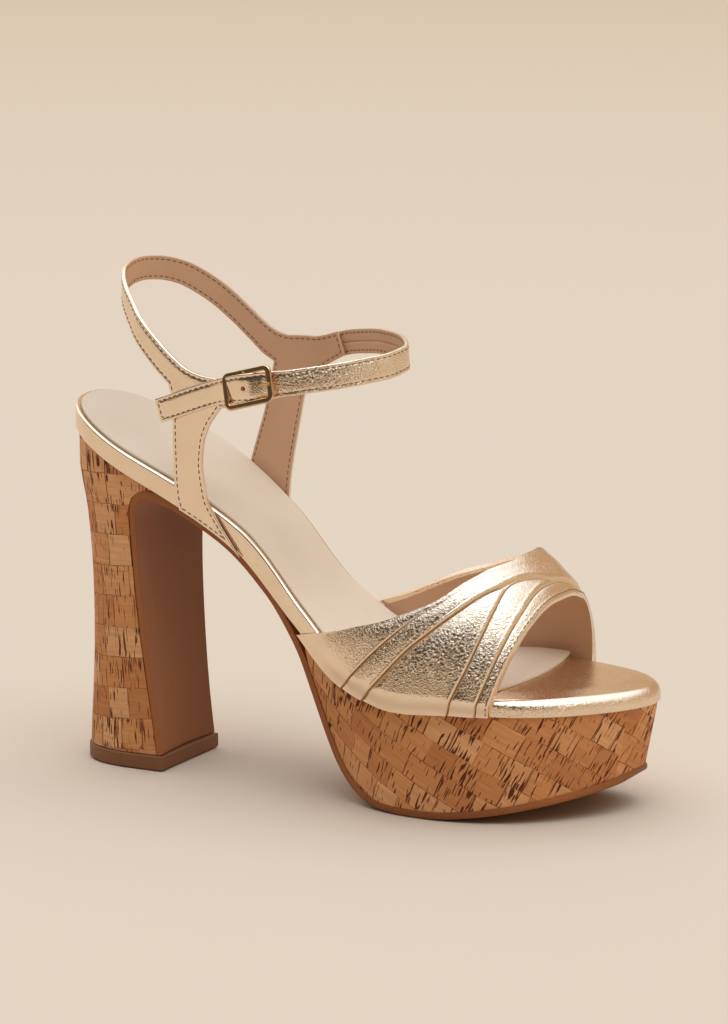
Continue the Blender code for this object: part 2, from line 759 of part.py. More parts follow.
def make_heel():
    """Cork block, waisted and flared to the seat, cut by the footbed and by the sole's sheet."""
    seat = heel_seat_height()
    depth = HEEL_BASE_FRONT - HEEL_BASE_BACK
    lip = HEEL_WAIST_FRONT + COVE_ON_SHANK
    rings = []
    for rise in HEEL_LEVELS:
        z = TIP_THICKNESS + GAP + rise * (seat - TIP_THICKNESS - GAP)
        shift = float(smooth(column(HEEL, 0), column(HEEL, 1), rise))
        back = HEEL_BASE_BACK + shift * depth
        half = float(heel_half_width(z))
        rings.append(heel_ring(z, back, half, lip, half * 0.925))
    piece = new_object("heel", loft("heel", rings))
    sheets = [footbed_sheet(-0.006, depth, 41) for depth in (-0.060, RIM_THICKNESS + GAP)]
    cut(piece, solid_between("footbed_space", sheets), "footbed_space")
    upper, lower = make_sole_sheets(SOLE_ROWS, SOLE_COLUMNS)
    first = int(np.argmax(upper[:, 0, 0] < lip + 0.015))
    rise = upper[first:] - lower[first:]
    rise /= np.linalg.norm(rise, axis=2)[:, :, None]
    rows = upper[first:] + rise * GAP
    rows = np.concatenate([rows, rows[-1:] + np.array([0.0, 0.0, -0.02])])
    rows[:, :, 1] = rows[:, :, 1] * 1.4
    away = rows + np.array([0.060, 0.0, -0.072])
    cut(piece, shell_between("breast_space", rows, away), "breast_space")
    return finish(piece, (0.50, 0.25, 0.12), 0.75)


def make_heel_tip():
    """Top piece that the heel walks on, a little proud of the block."""
    half = HEEL_BASE_WIDTH / 2.0 + TIP_STAND_OUT
    back = HEEL_BASE_BACK - TIP_STAND_OUT
    front = HEEL_BASE_FRONT + BREAST_THICKNESS + TIP_STAND_OUT
    rows = (
        (0.0, TIP_EDGE),
        (TIP_EDGE, 0.0),
        (TIP_THICKNESS - TIP_EDGE / 2.0, 0.0),
        (TIP_THICKNESS, TIP_EDGE / 2.0),
    )
    rings = []
    for z, inset in rows:
        rings.append(heel_ring(z, back + inset, half - inset, front - inset, half - inset))
    piece = new_object("heel_tip", loft("heel_tip", rings))
    return finish(piece, (0.16, 0.08, 0.05), 0.55)


def tunnel(across, x, offset):
    """Point of the vamp's form: an arch from rim to rim at station x, moved out by an offset."""
    low_y, high_y = side_at(-UPPER_CLEARANCE - offset, x)
    base = height_below(x, RIM_THICKNESS - 0.0002)
    rise = smooth(column(CROWN, 0), column(CROWN, 1), x / INSOLE_LENGTH) * VAMP_HEIGHT + offset
    angle = math.pi * across
    c = np.cos(angle)
    s = np.sin(angle)
    power = 2.45
    size = (np.abs(c) ** power + np.abs(s) ** power) ** (-1.0 / power)
    y = (low_y + high_y) / 2.0 - (high_y - low_y) / 2.0 * c * size
    return np.stack([x, y, base + rise * s * size], axis=-1)


def vamp_lines(across):
    """Stations of the vamp's eight lines at a share of the arch, never closer than a hair."""
    keys = column(VAMP, 0)
    lines = [float(smooth(keys, column(VAMP, k), across)) * INSOLE_LENGTH for k in range(1, 9)]
    hair = 0.00012
    for k in range(1, len(lines)):
        lines[k] = max(lines[k], lines[k - 1] + hair)
    return lines


def vamp_section(across):
    """Stations and wall thicknesses of one section of the vamp, from its rear edge forwards."""
    rear, fold_d, over_rear, fold_a, over_front, fold_b, fold_c, front = vamp_lines(across)
    low = BAND_WALL
    high = BAND_WALL + FOLD_STEP
    over = BAND_WALL + OVERLAY_STEP
    over_high = over + FOLD_STEP
    spans = (
        (rear, fold_d, low, high, 3),
        (fold_d, over_rear, low, low, 2),
        (over_rear, fold_a, over, over_high, 4),
        (fold_a, over_front, over, over, 4),
        (over_front, fold_b, low, high, 5),
        (fold_b, fold_c, low, high, 3),
        (fold_c, front, low, low, 3),
    )
    stations = []
    walls = []
    lip = 0.00005
    for k, (start, end, thin, thick, parts) in enumerate(spans):
        present = min(1.0, max(0.0, (end - start - 0.0002) / 0.0025))
        if k < 2:
            thin = over + (thin - over) * present
            thick = over + (thick - over) * present
        if k in (4, 5):
            thick = low + (thick - low) * present
        for share in np.linspace(0.0, 1.0, parts):
            stations.append(start + lip + (end - start - 2.0 * lip) * share)
            walls.append(thin + (thick - thin) * share)
    return stations, walls


def make_vamp():
    """Crossed toe bands as one hollow wall, with the overlay and the folds as steps."""
    inner = []
    outer = []
    for across in np.linspace(0.0, 1.0, VAMP_ROWS):
        stations, walls = vamp_section(across)
        x = np.array(stations)
        inner.append(tunnel(across, x, 0.0))
        outer.append(np.array([tunnel(across, np.array(s), w) for s, w in zip(stations, walls)]))
    piece = new_object("vamp", shell_between("vamp", np.array(inner), np.array(outer)))
    return finish(piece, (0.60, 0.45, 0.28), 0.3, 0.9)


def ring_point(along, across, rise):
    """Point of the straps' ring round the ankle."""
    x = ANKLE_BACK + along * ANKLE_LENGTH
    y = across * ANKLE_WIDTH / 2.0
    z = HEEL_HEIGHT + rise * COLLAR_RISE
    return x, y, z


def strap_grid(table, count, columns):
    """Grid of a strap along its centre line, upright in the ring."""
    points = np.array([ring_point(*row[:3]) for row in table])
    line, share = open_curve(points, count)
    keys = chord_lengths(points)
    keys = keys / keys[-1]
    width = smooth(keys, column(table, 3), share) * STRAP_WIDTH
    lift = np.zeros(count)
    if len(table[0]) > 4:
        lift = smooth(keys, column(table, 4), share) * STRAP_WALL
    ahead = np.gradient(line, axis=0)
    ahead /= np.linalg.norm(ahead, axis=1)[:, None]
    middle = np.array([ANKLE_BACK + ANKLE_LENGTH / 2.0, 0.0])
    grid = np.zeros((count, columns, 3))
    for i in range(count):
        out = np.array([ahead[i, 1], -ahead[i, 0], 0.0])
        out /= np.linalg.norm(out)
        if np.dot(out[:2], line[i, :2] - middle) < 0.0:
            out = -out
        up = np.cross(out, ahead[i])
        if up[2] < 0.0:
            up = -up
        for c, side in enumerate(np.linspace(0.5, -0.5, columns)):
            grid[i, c] = line[i] + up * side * width[i] + out * lift[i]
    return grid


def leg_grid(top_row, legs, side, rows):
    """Grid of a leg from a row of points on the strap's lower edge down to the rim."""
    count = len(top_row)
    down = np.linspace(0.0, 1.0, rows)
    rear = ANKLE_BACK + smooth(column(legs, 0), column(legs, 1), down) * ANKLE_LENGTH
    front = ANKLE_BACK + smooth(column(legs, 0), column(legs, 2), down) * ANKLE_LENGTH
    grid = np.zeros((rows, count, 3))
    order = top_row[np.argsort(top_row[:, 0])]
    place = (order[:, 0] - order[0, 0]) / (order[-1, 0] - order[0, 0])
    for r, v in enumerate(down):
        x = rear[r] + (front[r] - rear[r]) * place
        x = x + (order[:, 0] - (rear[0] + (front[0] - rear[0]) * place)) * (1.0 - v) ** 4
        base = height_below(x, RIM_THICKNESS - 0.0002)
        z = order[:, 2] + (base - order[:, 2]) * v
        low_y, high_y = side_at(-UPPER_CLEARANCE, x)
        foot = low_y if side < 0 else high_y
        ease = 3.0 * v ** 2 - 2.0 * v ** 3
        y = order[:, 1] + (foot - order[:, 1]) * ease
        grid[r] = np.stack([x, y, z], axis=1)
    return grid


def leg_top(lower_edge, span, side):
    """Rows of a strap's lower edge between two stations, on one side of the foot."""
    station = (lower_edge[:, 0] - ANKLE_BACK) / ANKLE_LENGTH
    low, high = min(span), max(span)
    keep = (station >= low) & (station <= high) & (lower_edge[:, 1] * side > 0.0)
    return lower_edge[keep]


def make_quarter():
    """Heel strap, its two tabs and the two legs that hold it, cut as one piece of leather."""
    grid = strap_grid(HEEL_STRAP, HEEL_STRAP_ROWS, 2)
    verts = [tuple(p) for p in grid.reshape(-1, 3)]
    faces = grid_faces(HEEL_STRAP_ROWS, 2)
    for legs, span, side in ((OUTER_LEG, OUTER_LEG_SPAN, -1.0), (INNER_LEG, INNER_LEG_SPAN, 1.0)):
        top_row = leg_top(grid[:, -1], span, side)
        leg = leg_grid(top_row, legs, side, LEG_ROWS)
        start = len(verts)
        verts += [tuple(p) for p in leg.reshape(-1, 3)]
        faces += grid_faces(leg.shape[0], leg.shape[1], start)
    piece = new_object("quarter_strap", mesh_from("quarter_strap", verts, faces))
    point_from_axis(piece.data)
    solidify(piece, STRAP_WALL)
    return finish(piece, (0.60, 0.45, 0.28), 0.3, 0.9)


def point_from_axis(mesh):
    """Point the faces of a strap away from the ring's upright axis."""
    middle = Vector((ANKLE_BACK + ANKLE_LENGTH / 2.0, 0.0, 0.0))
    total = 0.0
    for face in mesh.polygons:
        away = face.center - middle
        away.z = 0.0
        total += face.area * face.normal.dot(away.normalized())
    if total < 0.0:
        mesh.flip_normals()


def strap_frame(x):
    """Point on the ring at a station of the outer side, with the directions along, up and out."""
    grid = strap_grid(HEEL_STRAP, HEEL_STRAP_ROWS, 3)
    middle = grid[:, 1]
    outer = middle[:, 1] < 0.0
    order = np.argsort(middle[outer][:, 0])
    line = middle[outer][order]
    station = np.linspace(x - 0.010, x - 0.002, 3)
    ends = [np.array([np.interp(s, line[:, 0], line[:, k]) for k in range(3)]) for s in station]
    along = ends[2] - ends[0]
    along /= np.linalg.norm(along)
    here = np.array([np.interp(x, line[:, 0], line[:, k]) for k in range(3)])
    out = np.array([along[1], -along[0], 0.0])
    out /= np.linalg.norm(out)
    if out[1] > 0.0:
        out = -out
    up = np.cross(out, along)
    if up[2] < 0.0:
        up = -up
    return here, along, up, out


def buckle_place(along_shift, up_shift, lift):
    """Point near the buckle, from its middle, in the buckle's own directions."""
    here, along, up, out = strap_frame(BUCKLE_STATION)
    return here + along * along_shift + up * up_shift + out * lift


def make_ankle_strap():
    """Strap round the front of the ankle, with the holes for the prong."""
    grid = strap_grid(ANKLE_STRAP, ANKLE_STRAP_ROWS, 2)
    verts = [tuple(p) for p in grid.reshape(-1, 3)]
    mesh = mesh_from("ankle_strap", verts, grid_faces(ANKLE_STRAP_ROWS, 2))
    piece = new_object("ankle_strap", mesh)
    point_from_axis(piece.data)
    solidify(piece, STRAP_WALL)
    _, _, _, out = strap_frame(BUCKLE_STATION)
    for number, shift in enumerate((-1.0, 0.0, 1.0)):
        centre = Vector(buckle_place(PRONG_HOLE + shift * HOLE_PITCH, 0.0, STRAP_WALL * 2.0))
        bm = bmesh.new()
        turn = Vector((0.0, 0.0, 1.0)).rotation_difference(Vector(out)).to_matrix().to_4x4()
        turn.translation = centre
        bmesh.ops.create_cone(
            bm, cap_ends=True, segments=12, radius1=HOLE_RADIUS, radius2=HOLE_RADIUS,
            depth=0.010, matrix=turn,
        )
        mesh = bpy.data.meshes.new(f"hole_{number}")
        bm.to_mesh(mesh)
        bm.free()
        cut(piece, mesh, f"hole_{number}")
    return finish(piece, (0.60, 0.45, 0.28), 0.3, 0.9)


def wire(name, points, radius, closed=False, sides=3):
    """Round wire along the points, as a mesh with closed ends."""
    curve = bpy.data.curves.new(name, "CURVE")
    curve.dimensions = "3D"
    curve.bevel_depth = radius
    curve.bevel_resolution = sides
    curve.use_fill_caps = True
    spline = curve.splines.new("POLY")
    spline.points.add(len(points) - 1)
    for point, place in zip(spline.points, points):
        point.co = (*place, 1.0)
    spline.use_cyclic_u = closed
    holder = bpy.data.objects.new(name, curve)
    SANDAL.objects.link(holder)
    graph = bpy.context.evaluated_depsgraph_get()
    mesh = bpy.data.meshes.new_from_object(holder.evaluated_get(graph))
    bpy.data.objects.remove(holder)
    bpy.data.curves.remove(curve)
    bm = bmesh.new()
    bm.from_mesh(mesh)
    bmesh.ops.remove_doubles(bm, verts=bm.verts, dist=1e-6)
    bmesh.ops.recalc_face_normals(bm, faces=bm.faces)
    bm.to_mesh(mesh)
    bm.free()
    mesh.name = name
    return mesh


def make_buckle():
    """Rounded frame with a centre bar."""
    half_length = BUCKLE_LENGTH / 2.0 - BUCKLE_WIRE
    half_width = BUCKLE_WIDTH / 2.0 - BUCKLE_WIRE
    lift = FRAME_LIFT
    corners = (
        (half_length, half_width, 0.0),
        (-half_length, half_width, 90.0),
        (-half_length, -half_width, 180.0),
        (half_length, -half_width, 270.0),
    )
    points = []
    for length, width, start in corners:
        cx = length - math.copysign(BUCKLE_CORNER, length)
        cy = width - math.copysign(BUCKLE_CORNER, width)
        for angle in np.radians(np.linspace(start, start + 90.0, 5)):
            shift = cx + BUCKLE_CORNER * math.cos(angle)
            rise = cy + BUCKLE_CORNER * math.sin(angle)
            points.append(buckle_place(shift, rise, lift + bow(shift)))
    piece = new_object("buckle_frame", wire("buckle_frame", points, BUCKLE_WIRE, True))
    ends = [buckle_place(0.0, s * half_width, BAR_LIFT) for s in (-1.0, -0.9, 0.9, 1.0)]
    ends[0] = buckle_place(0.0, -half_width, lift)
    ends[3] = buckle_place(0.0, half_width, lift)
    bar = bpy.data.objects.new("bar", wire("bar", ends, BAR_RADIUS, sides=2))
    bar.location = piece.location
    CUTTERS.objects.link(bar)
    bar.hide_render = True
    bar.display_type = "WIRE"
    union = piece.modifiers.new("bar", "BOOLEAN")
    union.operation = "UNION"
    union.solver = "EXACT"
    union.object = bar
    return finish(piece, (0.70, 0.55, 0.35), 0.2, 1.0)


def bow(shift):
    """How far the buckle's ends curve in with the ankle."""
    return -FRAME_BOW * (shift / (BUCKLE_LENGTH / 2.0)) ** 2


def make_prong():
    """Prong from the bar, up through the strap's hole and over the frame's side."""
    rows = (
        (BAR_RADIUS + PRONG_RADIUS + GAP, BAR_LIFT - 0.0002),
        (PRONG_HOLE - 0.0007, BAR_LIFT - 0.00035),
        (PRONG_HOLE + 0.0004, FRAME_LIFT),
        (PRONG_HOLE + 0.0013, FRAME_LIFT + BUCKLE_WIRE + PRONG_RADIUS + GAP * 0.6),
        (BUCKLE_LENGTH / 2.0 + 0.0002, FRAME_LIFT + BUCKLE_WIRE + PRONG_RADIUS + GAP),
    )
    points = [buckle_place(shift, 0.0, lift) for shift, lift in rows]
    piece = new_object("buckle_prong", wire("buckle_prong", points, PRONG_RADIUS))
    return finish(piece, (0.70, 0.55, 0.35), 0.2, 1.0)


for old in list(bpy.data.objects):
    bpy.data.objects.remove(old)

SANDAL = bpy.data.collections.new("block_heel_sandal")
CUTTERS = bpy.data.collections.new("cutters")
bpy.context.scene.collection.children.link(SANDAL)
bpy.context.scene.collection.children.link(CUTTERS)

TIP_CENTRE = (HEEL_BASE_BACK + HEEL_BASE_FRONT + BREAST_THICKNESS) / 2.0
BUCKLE_STATION = ANKLE_BACK + BUCKLE_ALONG * ANKLE_LENGTH
PRONG_HOLE = BUCKLE_LENGTH * 0.30
BAR_LIFT = STRAP_WALL + GAP + BAR_RADIUS
FRAME_LIFT = STRAP_WALL * 2.0 + GAP * 5.0 + BUCKLE_WIRE

make_insole()
make_sock()
make_outsole()
make_platform()
make_heel()
make_heel_tip()
make_vamp()
make_quarter()
make_ankle_strap()
make_buckle()
make_prong()
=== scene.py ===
"""Block heel platform sandal, right shoe: the leather, cork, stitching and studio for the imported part.

World metres, +X to the toe, +Y to the inner side, +Z up, the floor at z = 0.
A station is counted from the footbed's back end; STATION_ZERO is the row frame's x = 0.
"""

import math

import bmesh
import bpy
import numpy as np
from mathutils import Matrix, Vector
from mathutils.bvhtree import BVHTree
from mathutils.kdtree import KDTree


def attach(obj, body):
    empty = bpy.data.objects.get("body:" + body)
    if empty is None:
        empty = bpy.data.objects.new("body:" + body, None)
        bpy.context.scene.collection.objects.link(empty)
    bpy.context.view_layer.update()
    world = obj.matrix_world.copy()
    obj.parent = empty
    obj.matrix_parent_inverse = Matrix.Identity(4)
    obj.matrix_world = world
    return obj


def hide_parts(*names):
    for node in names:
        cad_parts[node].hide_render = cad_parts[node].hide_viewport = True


bl_info = {
    "name": "Block heel sandal looks",
    "version": (1, 0, 0),
    "blender": (4, 5, 0),
    "location": "3D View > Sidebar > Sandal",
    "description": "Dresses the packed sandal in foil leather, cork veneer, lining and stitching",
    "category": "Object",
}

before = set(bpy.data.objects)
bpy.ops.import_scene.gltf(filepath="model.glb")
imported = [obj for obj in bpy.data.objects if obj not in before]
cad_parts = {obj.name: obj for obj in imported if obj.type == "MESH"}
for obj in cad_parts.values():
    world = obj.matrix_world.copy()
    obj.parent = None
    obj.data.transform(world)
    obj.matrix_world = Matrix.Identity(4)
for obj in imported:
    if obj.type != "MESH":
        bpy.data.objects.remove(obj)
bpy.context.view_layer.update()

STATION_ZERO = 0.0216
INSOLE_LENGTH = 0.2166
HEEL_SEAT_WIDTH = 0.0585
OUTER_WAIST = 0.0233
INNER_WAIST = 0.0201
OUTER_BALL = 0.0381
INNER_BALL = 0.0396
HEEL_HEIGHT = 0.1325
PLATFORM_HEIGHT = 0.0445
RIM_THICKNESS = 0.0069
SOCK_INSET = 0.0021
SOCK_LENGTH = 0.1785
SOCK_CORNER_DROP = 0.0045
RIM_ROLL = 0.0010
TOE_ROLL = 0.0021
TOE_DROP = 0.0013
SIDE_PUFF = 0.0025
SOLE_THICKNESS = 0.0025
BREAST_THICKNESS = 0.0014
SOLE_INSET = 0.0046
SHANK_INSET = 0.0016
PLATFORM_TOP_INSET = 0.0010
PLATFORM_TAPER = 0.0040
COVE_ON_SHANK = 0.0205
COVE_ON_BREAST = 0.0170
BREAST_HOLLOW = 0.0014
HEEL_BASE_WIDTH = 0.0400
HEEL_TOP_WIDTH = 0.0566
HEEL_BASE_FRONT = 0.0388
HEEL_WAIST_FRONT = 0.0318
TIP_THICKNESS = 0.0054
UPPER_CLEARANCE = 0.0005
VAMP_HEIGHT = 0.0490
BAND_WALL = 0.0013
OVERLAY_STEP = 0.0009
FOLD_STEP = 0.00072
FOLD_SWELL = 0.00045
FOLD_RADIUS = 0.00042
FOLD_DIP = 0.00034
BAND_ROWS = 190
STRAP_ROWS = 420
LEG_ROWS = 90
SOLE_ROWS = 420
SOCK_ROWS = 200
PLATFORM_COLUMNS = 150
PLATFORM_LAYERS = 26
STRAP_WALL = 0.0015
STRAP_WIDTH = 0.0088
ANKLE_BACK = 0.0193
ANKLE_LENGTH = 0.1082
ANKLE_WIDTH = 0.0600
COLLAR_RISE = 0.0440
BUCKLE_ALONG = 0.596
BUCKLE_SHIFT = 0.0024
BUCKLE_LENGTH = 0.0200
BUCKLE_WIDTH = 0.0130
BUCKLE_TILT = 0.20
BUCKLE_LIFT = 0.0046
BUCKLE_CORNER = 0.0027
BUCKLE_RIM = 0.0020
BUCKLE_DEPTH = 0.00125
BUCKLE_SOFTNESS = 0.00040
ROD_RADIUS = 0.00055
PRONG_HOLE = 0.0052
HOLE_PITCH = 0.0066
HOLE_RADIUS = 0.0009
GAP = 0.0003

# Columns of faces between the toe bands' lines, and the last column of each span
SPAN_COLUMNS = (14, 10, 26, 20, 34, 18, 16)
SPAN_ENDS = np.cumsum(SPAN_COLUMNS) - 1

# Walking face of the sole under the platform, toe to the platform's back
SOLE_LINE = (
    # along, height
    (0.9850, 0.0124),
    (0.9600, 0.0099),
    (0.9200, 0.0076),
    (0.8800, 0.0056),
    (0.8200, 0.0030),
    (0.7600, 0.0010),
    (0.7000, 0.0000),
    (0.6400, 0.0001),
    (0.6050, 0.0010),
    (0.5780, 0.0034),
    (0.5560, 0.0072),
    (0.5380, 0.0117),
    (0.5175, 0.0190),
    (0.4965, 0.0276),
    (0.4770, 0.0362),
    (0.4600, 0.0438),
)

# Heel block.  width: share of the way from the base width to the top.  front: share to the waist
HEEL = (
    # height, width, front
    (0.00, 0.000, 0.00),
    (0.10, 0.010, 0.18),
    (0.22, 0.075, 0.40),
    (0.36, 0.190, 0.62),
    (0.50, 0.310, 0.80),
    (0.64, 0.430, 0.93),
    (0.76, 0.560, 0.99),
    (0.86, 0.730, 1.00),
    (0.94, 0.900, 1.00),
    (1.00, 1.000, 1.00),
    (1.30, 1.000, 1.00),
)

# Plan of the footbed, from the back down the outer side to the toe and back up the inner side
PLAN = (
    # along, across, width
    (0.000, 0.000, HEEL_SEAT_WIDTH),
    (0.025, -0.310, HEEL_SEAT_WIDTH),
    (0.120, -0.500, HEEL_SEAT_WIDTH),
    (0.411, -1.000, OUTER_WAIST),
    (0.618, -1.000, OUTER_BALL),
    (0.861, -0.814, OUTER_BALL),
    (0.958, -0.269, OUTER_BALL),
    (1.000, 0.444, INNER_BALL),
    (0.963, 0.758, INNER_BALL),
    (0.871, 0.950, INNER_BALL),
    (0.727, 1.000, INNER_BALL),
    (0.420, 1.000, INNER_WAIST),
    (0.120, 0.500, HEEL_SEAT_WIDTH),
    (0.025, 0.310, HEEL_SEAT_WIDTH),
)

# Side profile of the footbed's top.  rise: share of the drop from the heel seat to the ball
PROFILE = (
    # along, rise
    (0.000, 1.000),
    (0.115, 0.856),
    (0.231, 0.717),
    (0.346, 0.534),
    (0.462, 0.241),
    (0.577, 0.048),
    (0.669, 0.000),
    (0.762, 0.010),
    (0.877, 0.003),
    (1.000, -0.005),
)

# Crown of the toe bands over the rim.  rise: share of VAMP_HEIGHT
CROWN = (
    # along, rise
    (0.430, 1.180),
    (0.500, 1.310),
    (0.560, 1.410),
    (0.646, 1.350),
    (0.716, 1.235),
    (0.762, 1.125),
    (0.803, 1.000),
    (0.836, 0.863),
    (0.868, 0.696),
    (0.900, 0.510),
    (0.950, 0.270),
)

# Lines of the two crossed toe bands, as shares of the footbed's length at a share of the arch
BANDS = (
    # across, rear, fold_d, over_rear, fold_a, over_front, fold_b, fold_c, front
    (0.00, 0.459, 0.459, 0.459, 0.560, 0.602, 0.754, 0.797, 0.817),
    (0.05, 0.506, 0.506, 0.506, 0.600, 0.642, 0.771, 0.809, 0.826),
    (0.10, 0.578, 0.578, 0.578, 0.642, 0.683, 0.787, 0.820, 0.835),
    (0.15, 0.660, 0.660, 0.660, 0.688, 0.728, 0.798, 0.829, 0.843),
    (0.20, 0.727, 0.727, 0.727, 0.737, 0.763, 0.806, 0.836, 0.850),
    (0.25, 0.758, 0.758, 0.758, 0.766, 0.788, 0.811, 0.841, 0.855),
    (0.30, 0.780, 0.780, 0.780, 0.788, 0.808, 0.814, 0.844, 0.859),
    (0.40, 0.805, 0.805, 0.805, 0.816, 0.830, 0.832, 0.846, 0.863),
    (0.50, 0.808, 0.808, 0.808, 0.828, 0.846, 0.847, 0.849, 0.865),
    (0.60, 0.798, 0.806, 0.812, 0.832, 0.850, 0.852, 0.854, 0.865),
    (0.70, 0.766, 0.786, 0.801, 0.824, 0.844, 0.846, 0.848, 0.856),
    (0.80, 0.680, 0.725, 0.755, 0.794, 0.837, 0.839, 0.841, 0.849),
    (0.85, 0.614, 0.674, 0.720, 0.775, 0.834, 0.836, 0.838, 0.846),
    (0.90, 0.552, 0.619, 0.678, 0.752, 0.831, 0.833, 0.835, 0.843),
    (0.95, 0.496, 0.570, 0.637, 0.730, 0.828, 0.830, 0.832, 0.840),
    (1.00, 0.459, 0.540, 0.596, 0.715, 0.825, 0.827, 0.829, 0.837),
)

# Heel strap with its two tabs.  rise: share of COLLAR_RISE.  width: share of STRAP_WIDTH
HEEL_STRAP = (
    # along, across, rise, width
    (0.590, -1.035, 0.240, 0.96),
    (0.545, -1.028, 0.212, 1.02),
    (0.490, -1.020, 0.180, 1.14),
    (0.420, -1.015, 0.195, 1.15),
    (0.355, -1.000, 0.245, 1.08),
    (0.290, -0.970, 0.350, 1.00),
    (0.215, -0.905, 0.500, 0.98),
    (0.155, -0.810, 0.625, 0.98),
    (0.110, -0.690, 0.735, 0.98),
    (0.065, -0.540, 0.838, 0.98),
    (0.029, -0.360, 0.915, 0.98),
    (0.006, -0.165, 0.970, 0.98),
    (0.000, 0.035, 1.000, 0.98),
    (0.006, 0.235, 1.013, 0.98),
    (0.030, 0.440, 1.005, 0.98),
    (0.076, 0.630, 0.965, 0.98),
    (0.135, 0.790, 0.870, 0.98),
    (0.195, 0.880, 0.755, 0.98),
    (0.258, 0.925, 0.620, 0.98),
    (0.318, 0.945, 0.490, 1.02),
    (0.376, 0.955, 0.385, 1.18),
    (0.440, 0.958, 0.335, 1.36),
    (0.520, 0.950, 0.335, 1.42),
    (0.580, 0.930, 0.380, 1.16),
    (0.640, 0.895, 0.440, 1.00),
)

# Ankle strap from its inner seam round the front.  lift: share of STRAP_WALL out of the ring
ANKLE_STRAP = (
    # along, across, rise, width, lift, lean
    (0.600, 0.930, 0.400, 1.00, 1.25, 0.00),
    (0.645, 0.893, 0.440, 1.00, 1.20, 0.00),
    (0.690, 0.846, 0.463, 1.00, 0.60, 0.00),
    (0.740, 0.790, 0.480, 1.00, 0.10, 0.00),
    (0.820, 0.640, 0.500, 1.00, 0.00, 0.00),
    (0.895, 0.455, 0.500, 1.00, 0.00, 0.02),
    (0.955, 0.250, 0.480, 1.00, 0.00, 0.04),
    (0.988, 0.030, 0.445, 1.00, 0.00, 0.08),
    (0.978, -0.240, 0.415, 1.00, 0.00, 0.14),
    (0.930, -0.510, 0.385, 1.00, 0.00, 0.17),
    (0.855, -0.760, 0.350, 1.00, 0.10, 0.14),
    (0.775, -0.930, 0.321, 1.00, 0.45, 0.12),
    (0.730, -0.988, 0.304, 1.00, 0.90, 0.09),
    (0.680, -1.020, 0.286, 1.07, 1.15, 0.06),
    (0.650, -1.032, 0.273, 1.13, 1.35, 0.04),
    (0.630, -1.035, 0.265, 1.15, 2.05, 0.02),
    (0.612, -1.036, 0.258, 1.15, 2.80, 0.02),
    (0.594, -1.036, 0.251, 1.15, 2.85, 0.02),
    (0.565, -1.034, 0.238, 1.12, 2.45, 0.02),
    (0.522, -1.027, 0.218, 1.05, 1.85, 0.00),
    (0.460, -1.018, 0.179, 1.00, 1.25, 0.00),
    (0.390, -1.008, 0.120, 1.00, 1.25, 0.00),
    (0.320, -0.990, 0.055, 0.99, 1.25, 0.00),
    (0.262, -0.968, 0.006, 0.97, 1.30, 0.00),
)

# Legs of the quarter.  rear and front: stations as shares of ANKLE_LENGTH
OUTER_LEG = (
    # down, rear, front
    (0.00, 0.277, 0.502),
    (0.14, 0.300, 0.452),
    (0.30, 0.303, 0.422),
    (0.52, 0.303, 0.408),
    (0.74, 0.303, 0.415),
    (0.90, 0.306, 0.462),
    (1.00, 0.318, 0.520),
)
INNER_LEG = (
    (0.00, 0.368, 0.525),
    (0.16, 0.360, 0.500),
    (0.36, 0.345, 0.482),
    (0.58, 0.320, 0.466),
    (0.80, 0.294, 0.456),
    (1.00, 0.272, 0.452),
)
OUTER_LEG_SPAN = (0.290, 0.490)
INNER_LEG_SPAN = (0.376, 0.520)


class SandalSizes(bpy.types.PropertyGroup):
    """Sizes of the leather's and stitching's detail."""

    stitch_pitch: bpy.props.FloatProperty(
        name="Stitch pitch", description="From one stitch to the next",
        default=0.0023, unit="LENGTH", precision=5,
    )
    stitch_length: bpy.props.FloatProperty(
        name="Stitch length", description="Seen length of one stitch",
        default=0.0016, unit="LENGTH", precision=5,
    )
    stitch_width: bpy.props.FloatProperty(
        name="Thread width", description="Thickness of the thread",
        default=0.00042, unit="LENGTH", precision=5,
    )
    seam_margin: bpy.props.FloatProperty(
        name="Seam margin", description="From an edge to its row of stitches",
        default=0.00125, unit="LENGTH", precision=5,
    )
    groove_depth: bpy.props.FloatProperty(
        name="Groove depth", description="How far the stitches pull the leather in",
        default=0.00011, unit="LENGTH", precision=5,
    )
    puff: bpy.props.FloatProperty(
        name="Puff", description="How far the leather swells between its seams",
        default=0.00007, unit="LENGTH", precision=5,
    )
    crinkle: bpy.props.FloatProperty(
        name="Crinkle size", description="Width of one wrinkle of the foil",
        default=0.0009, unit="LENGTH", precision=5,
    )
    patch: bpy.props.FloatProperty(
        name="Cork patch", description="Height of one patch of the cork veneer",
        default=0.0098, unit="LENGTH", precision=5,
    )


class SandalColours(bpy.types.PropertyGroup):
    """Colours of the sandal's finishes, as sRGB hex values."""

    foil: bpy.props.StringProperty(name="Foil", description="Gold foil leather", default="F4DFC6")
    lining: bpy.props.StringProperty(name="Lining", description="Lining leather", default="D2A783")
    sock: bpy.props.StringProperty(name="Sock", description="Sock leather", default="E3CCB1")
    cork: bpy.props.StringProperty(name="Cork", description="Cork veneer", default="D6935B")
    fleck: bpy.props.StringProperty(name="Fleck", description="Bark flecks", default="642C14")
    sole: bpy.props.StringProperty(name="Sole", description="Sole sheet", default="A66435")
    buckle: bpy.props.StringProperty(name="Buckle", description="Gold plate", default="DDB688")
    thread: bpy.props.StringProperty(name="Thread", description="Sewing thread", default="7A5A3E")
    floor: bpy.props.StringProperty(name="Floor", description="Studio sweep", default="D3BFA8")


def sizes():
    """Sizes of the sandal's detail."""
    return bpy.context.scene.sandal_sizes


def colours():
    """The sandal's colours."""
    return bpy.context.scene.sandal_colours


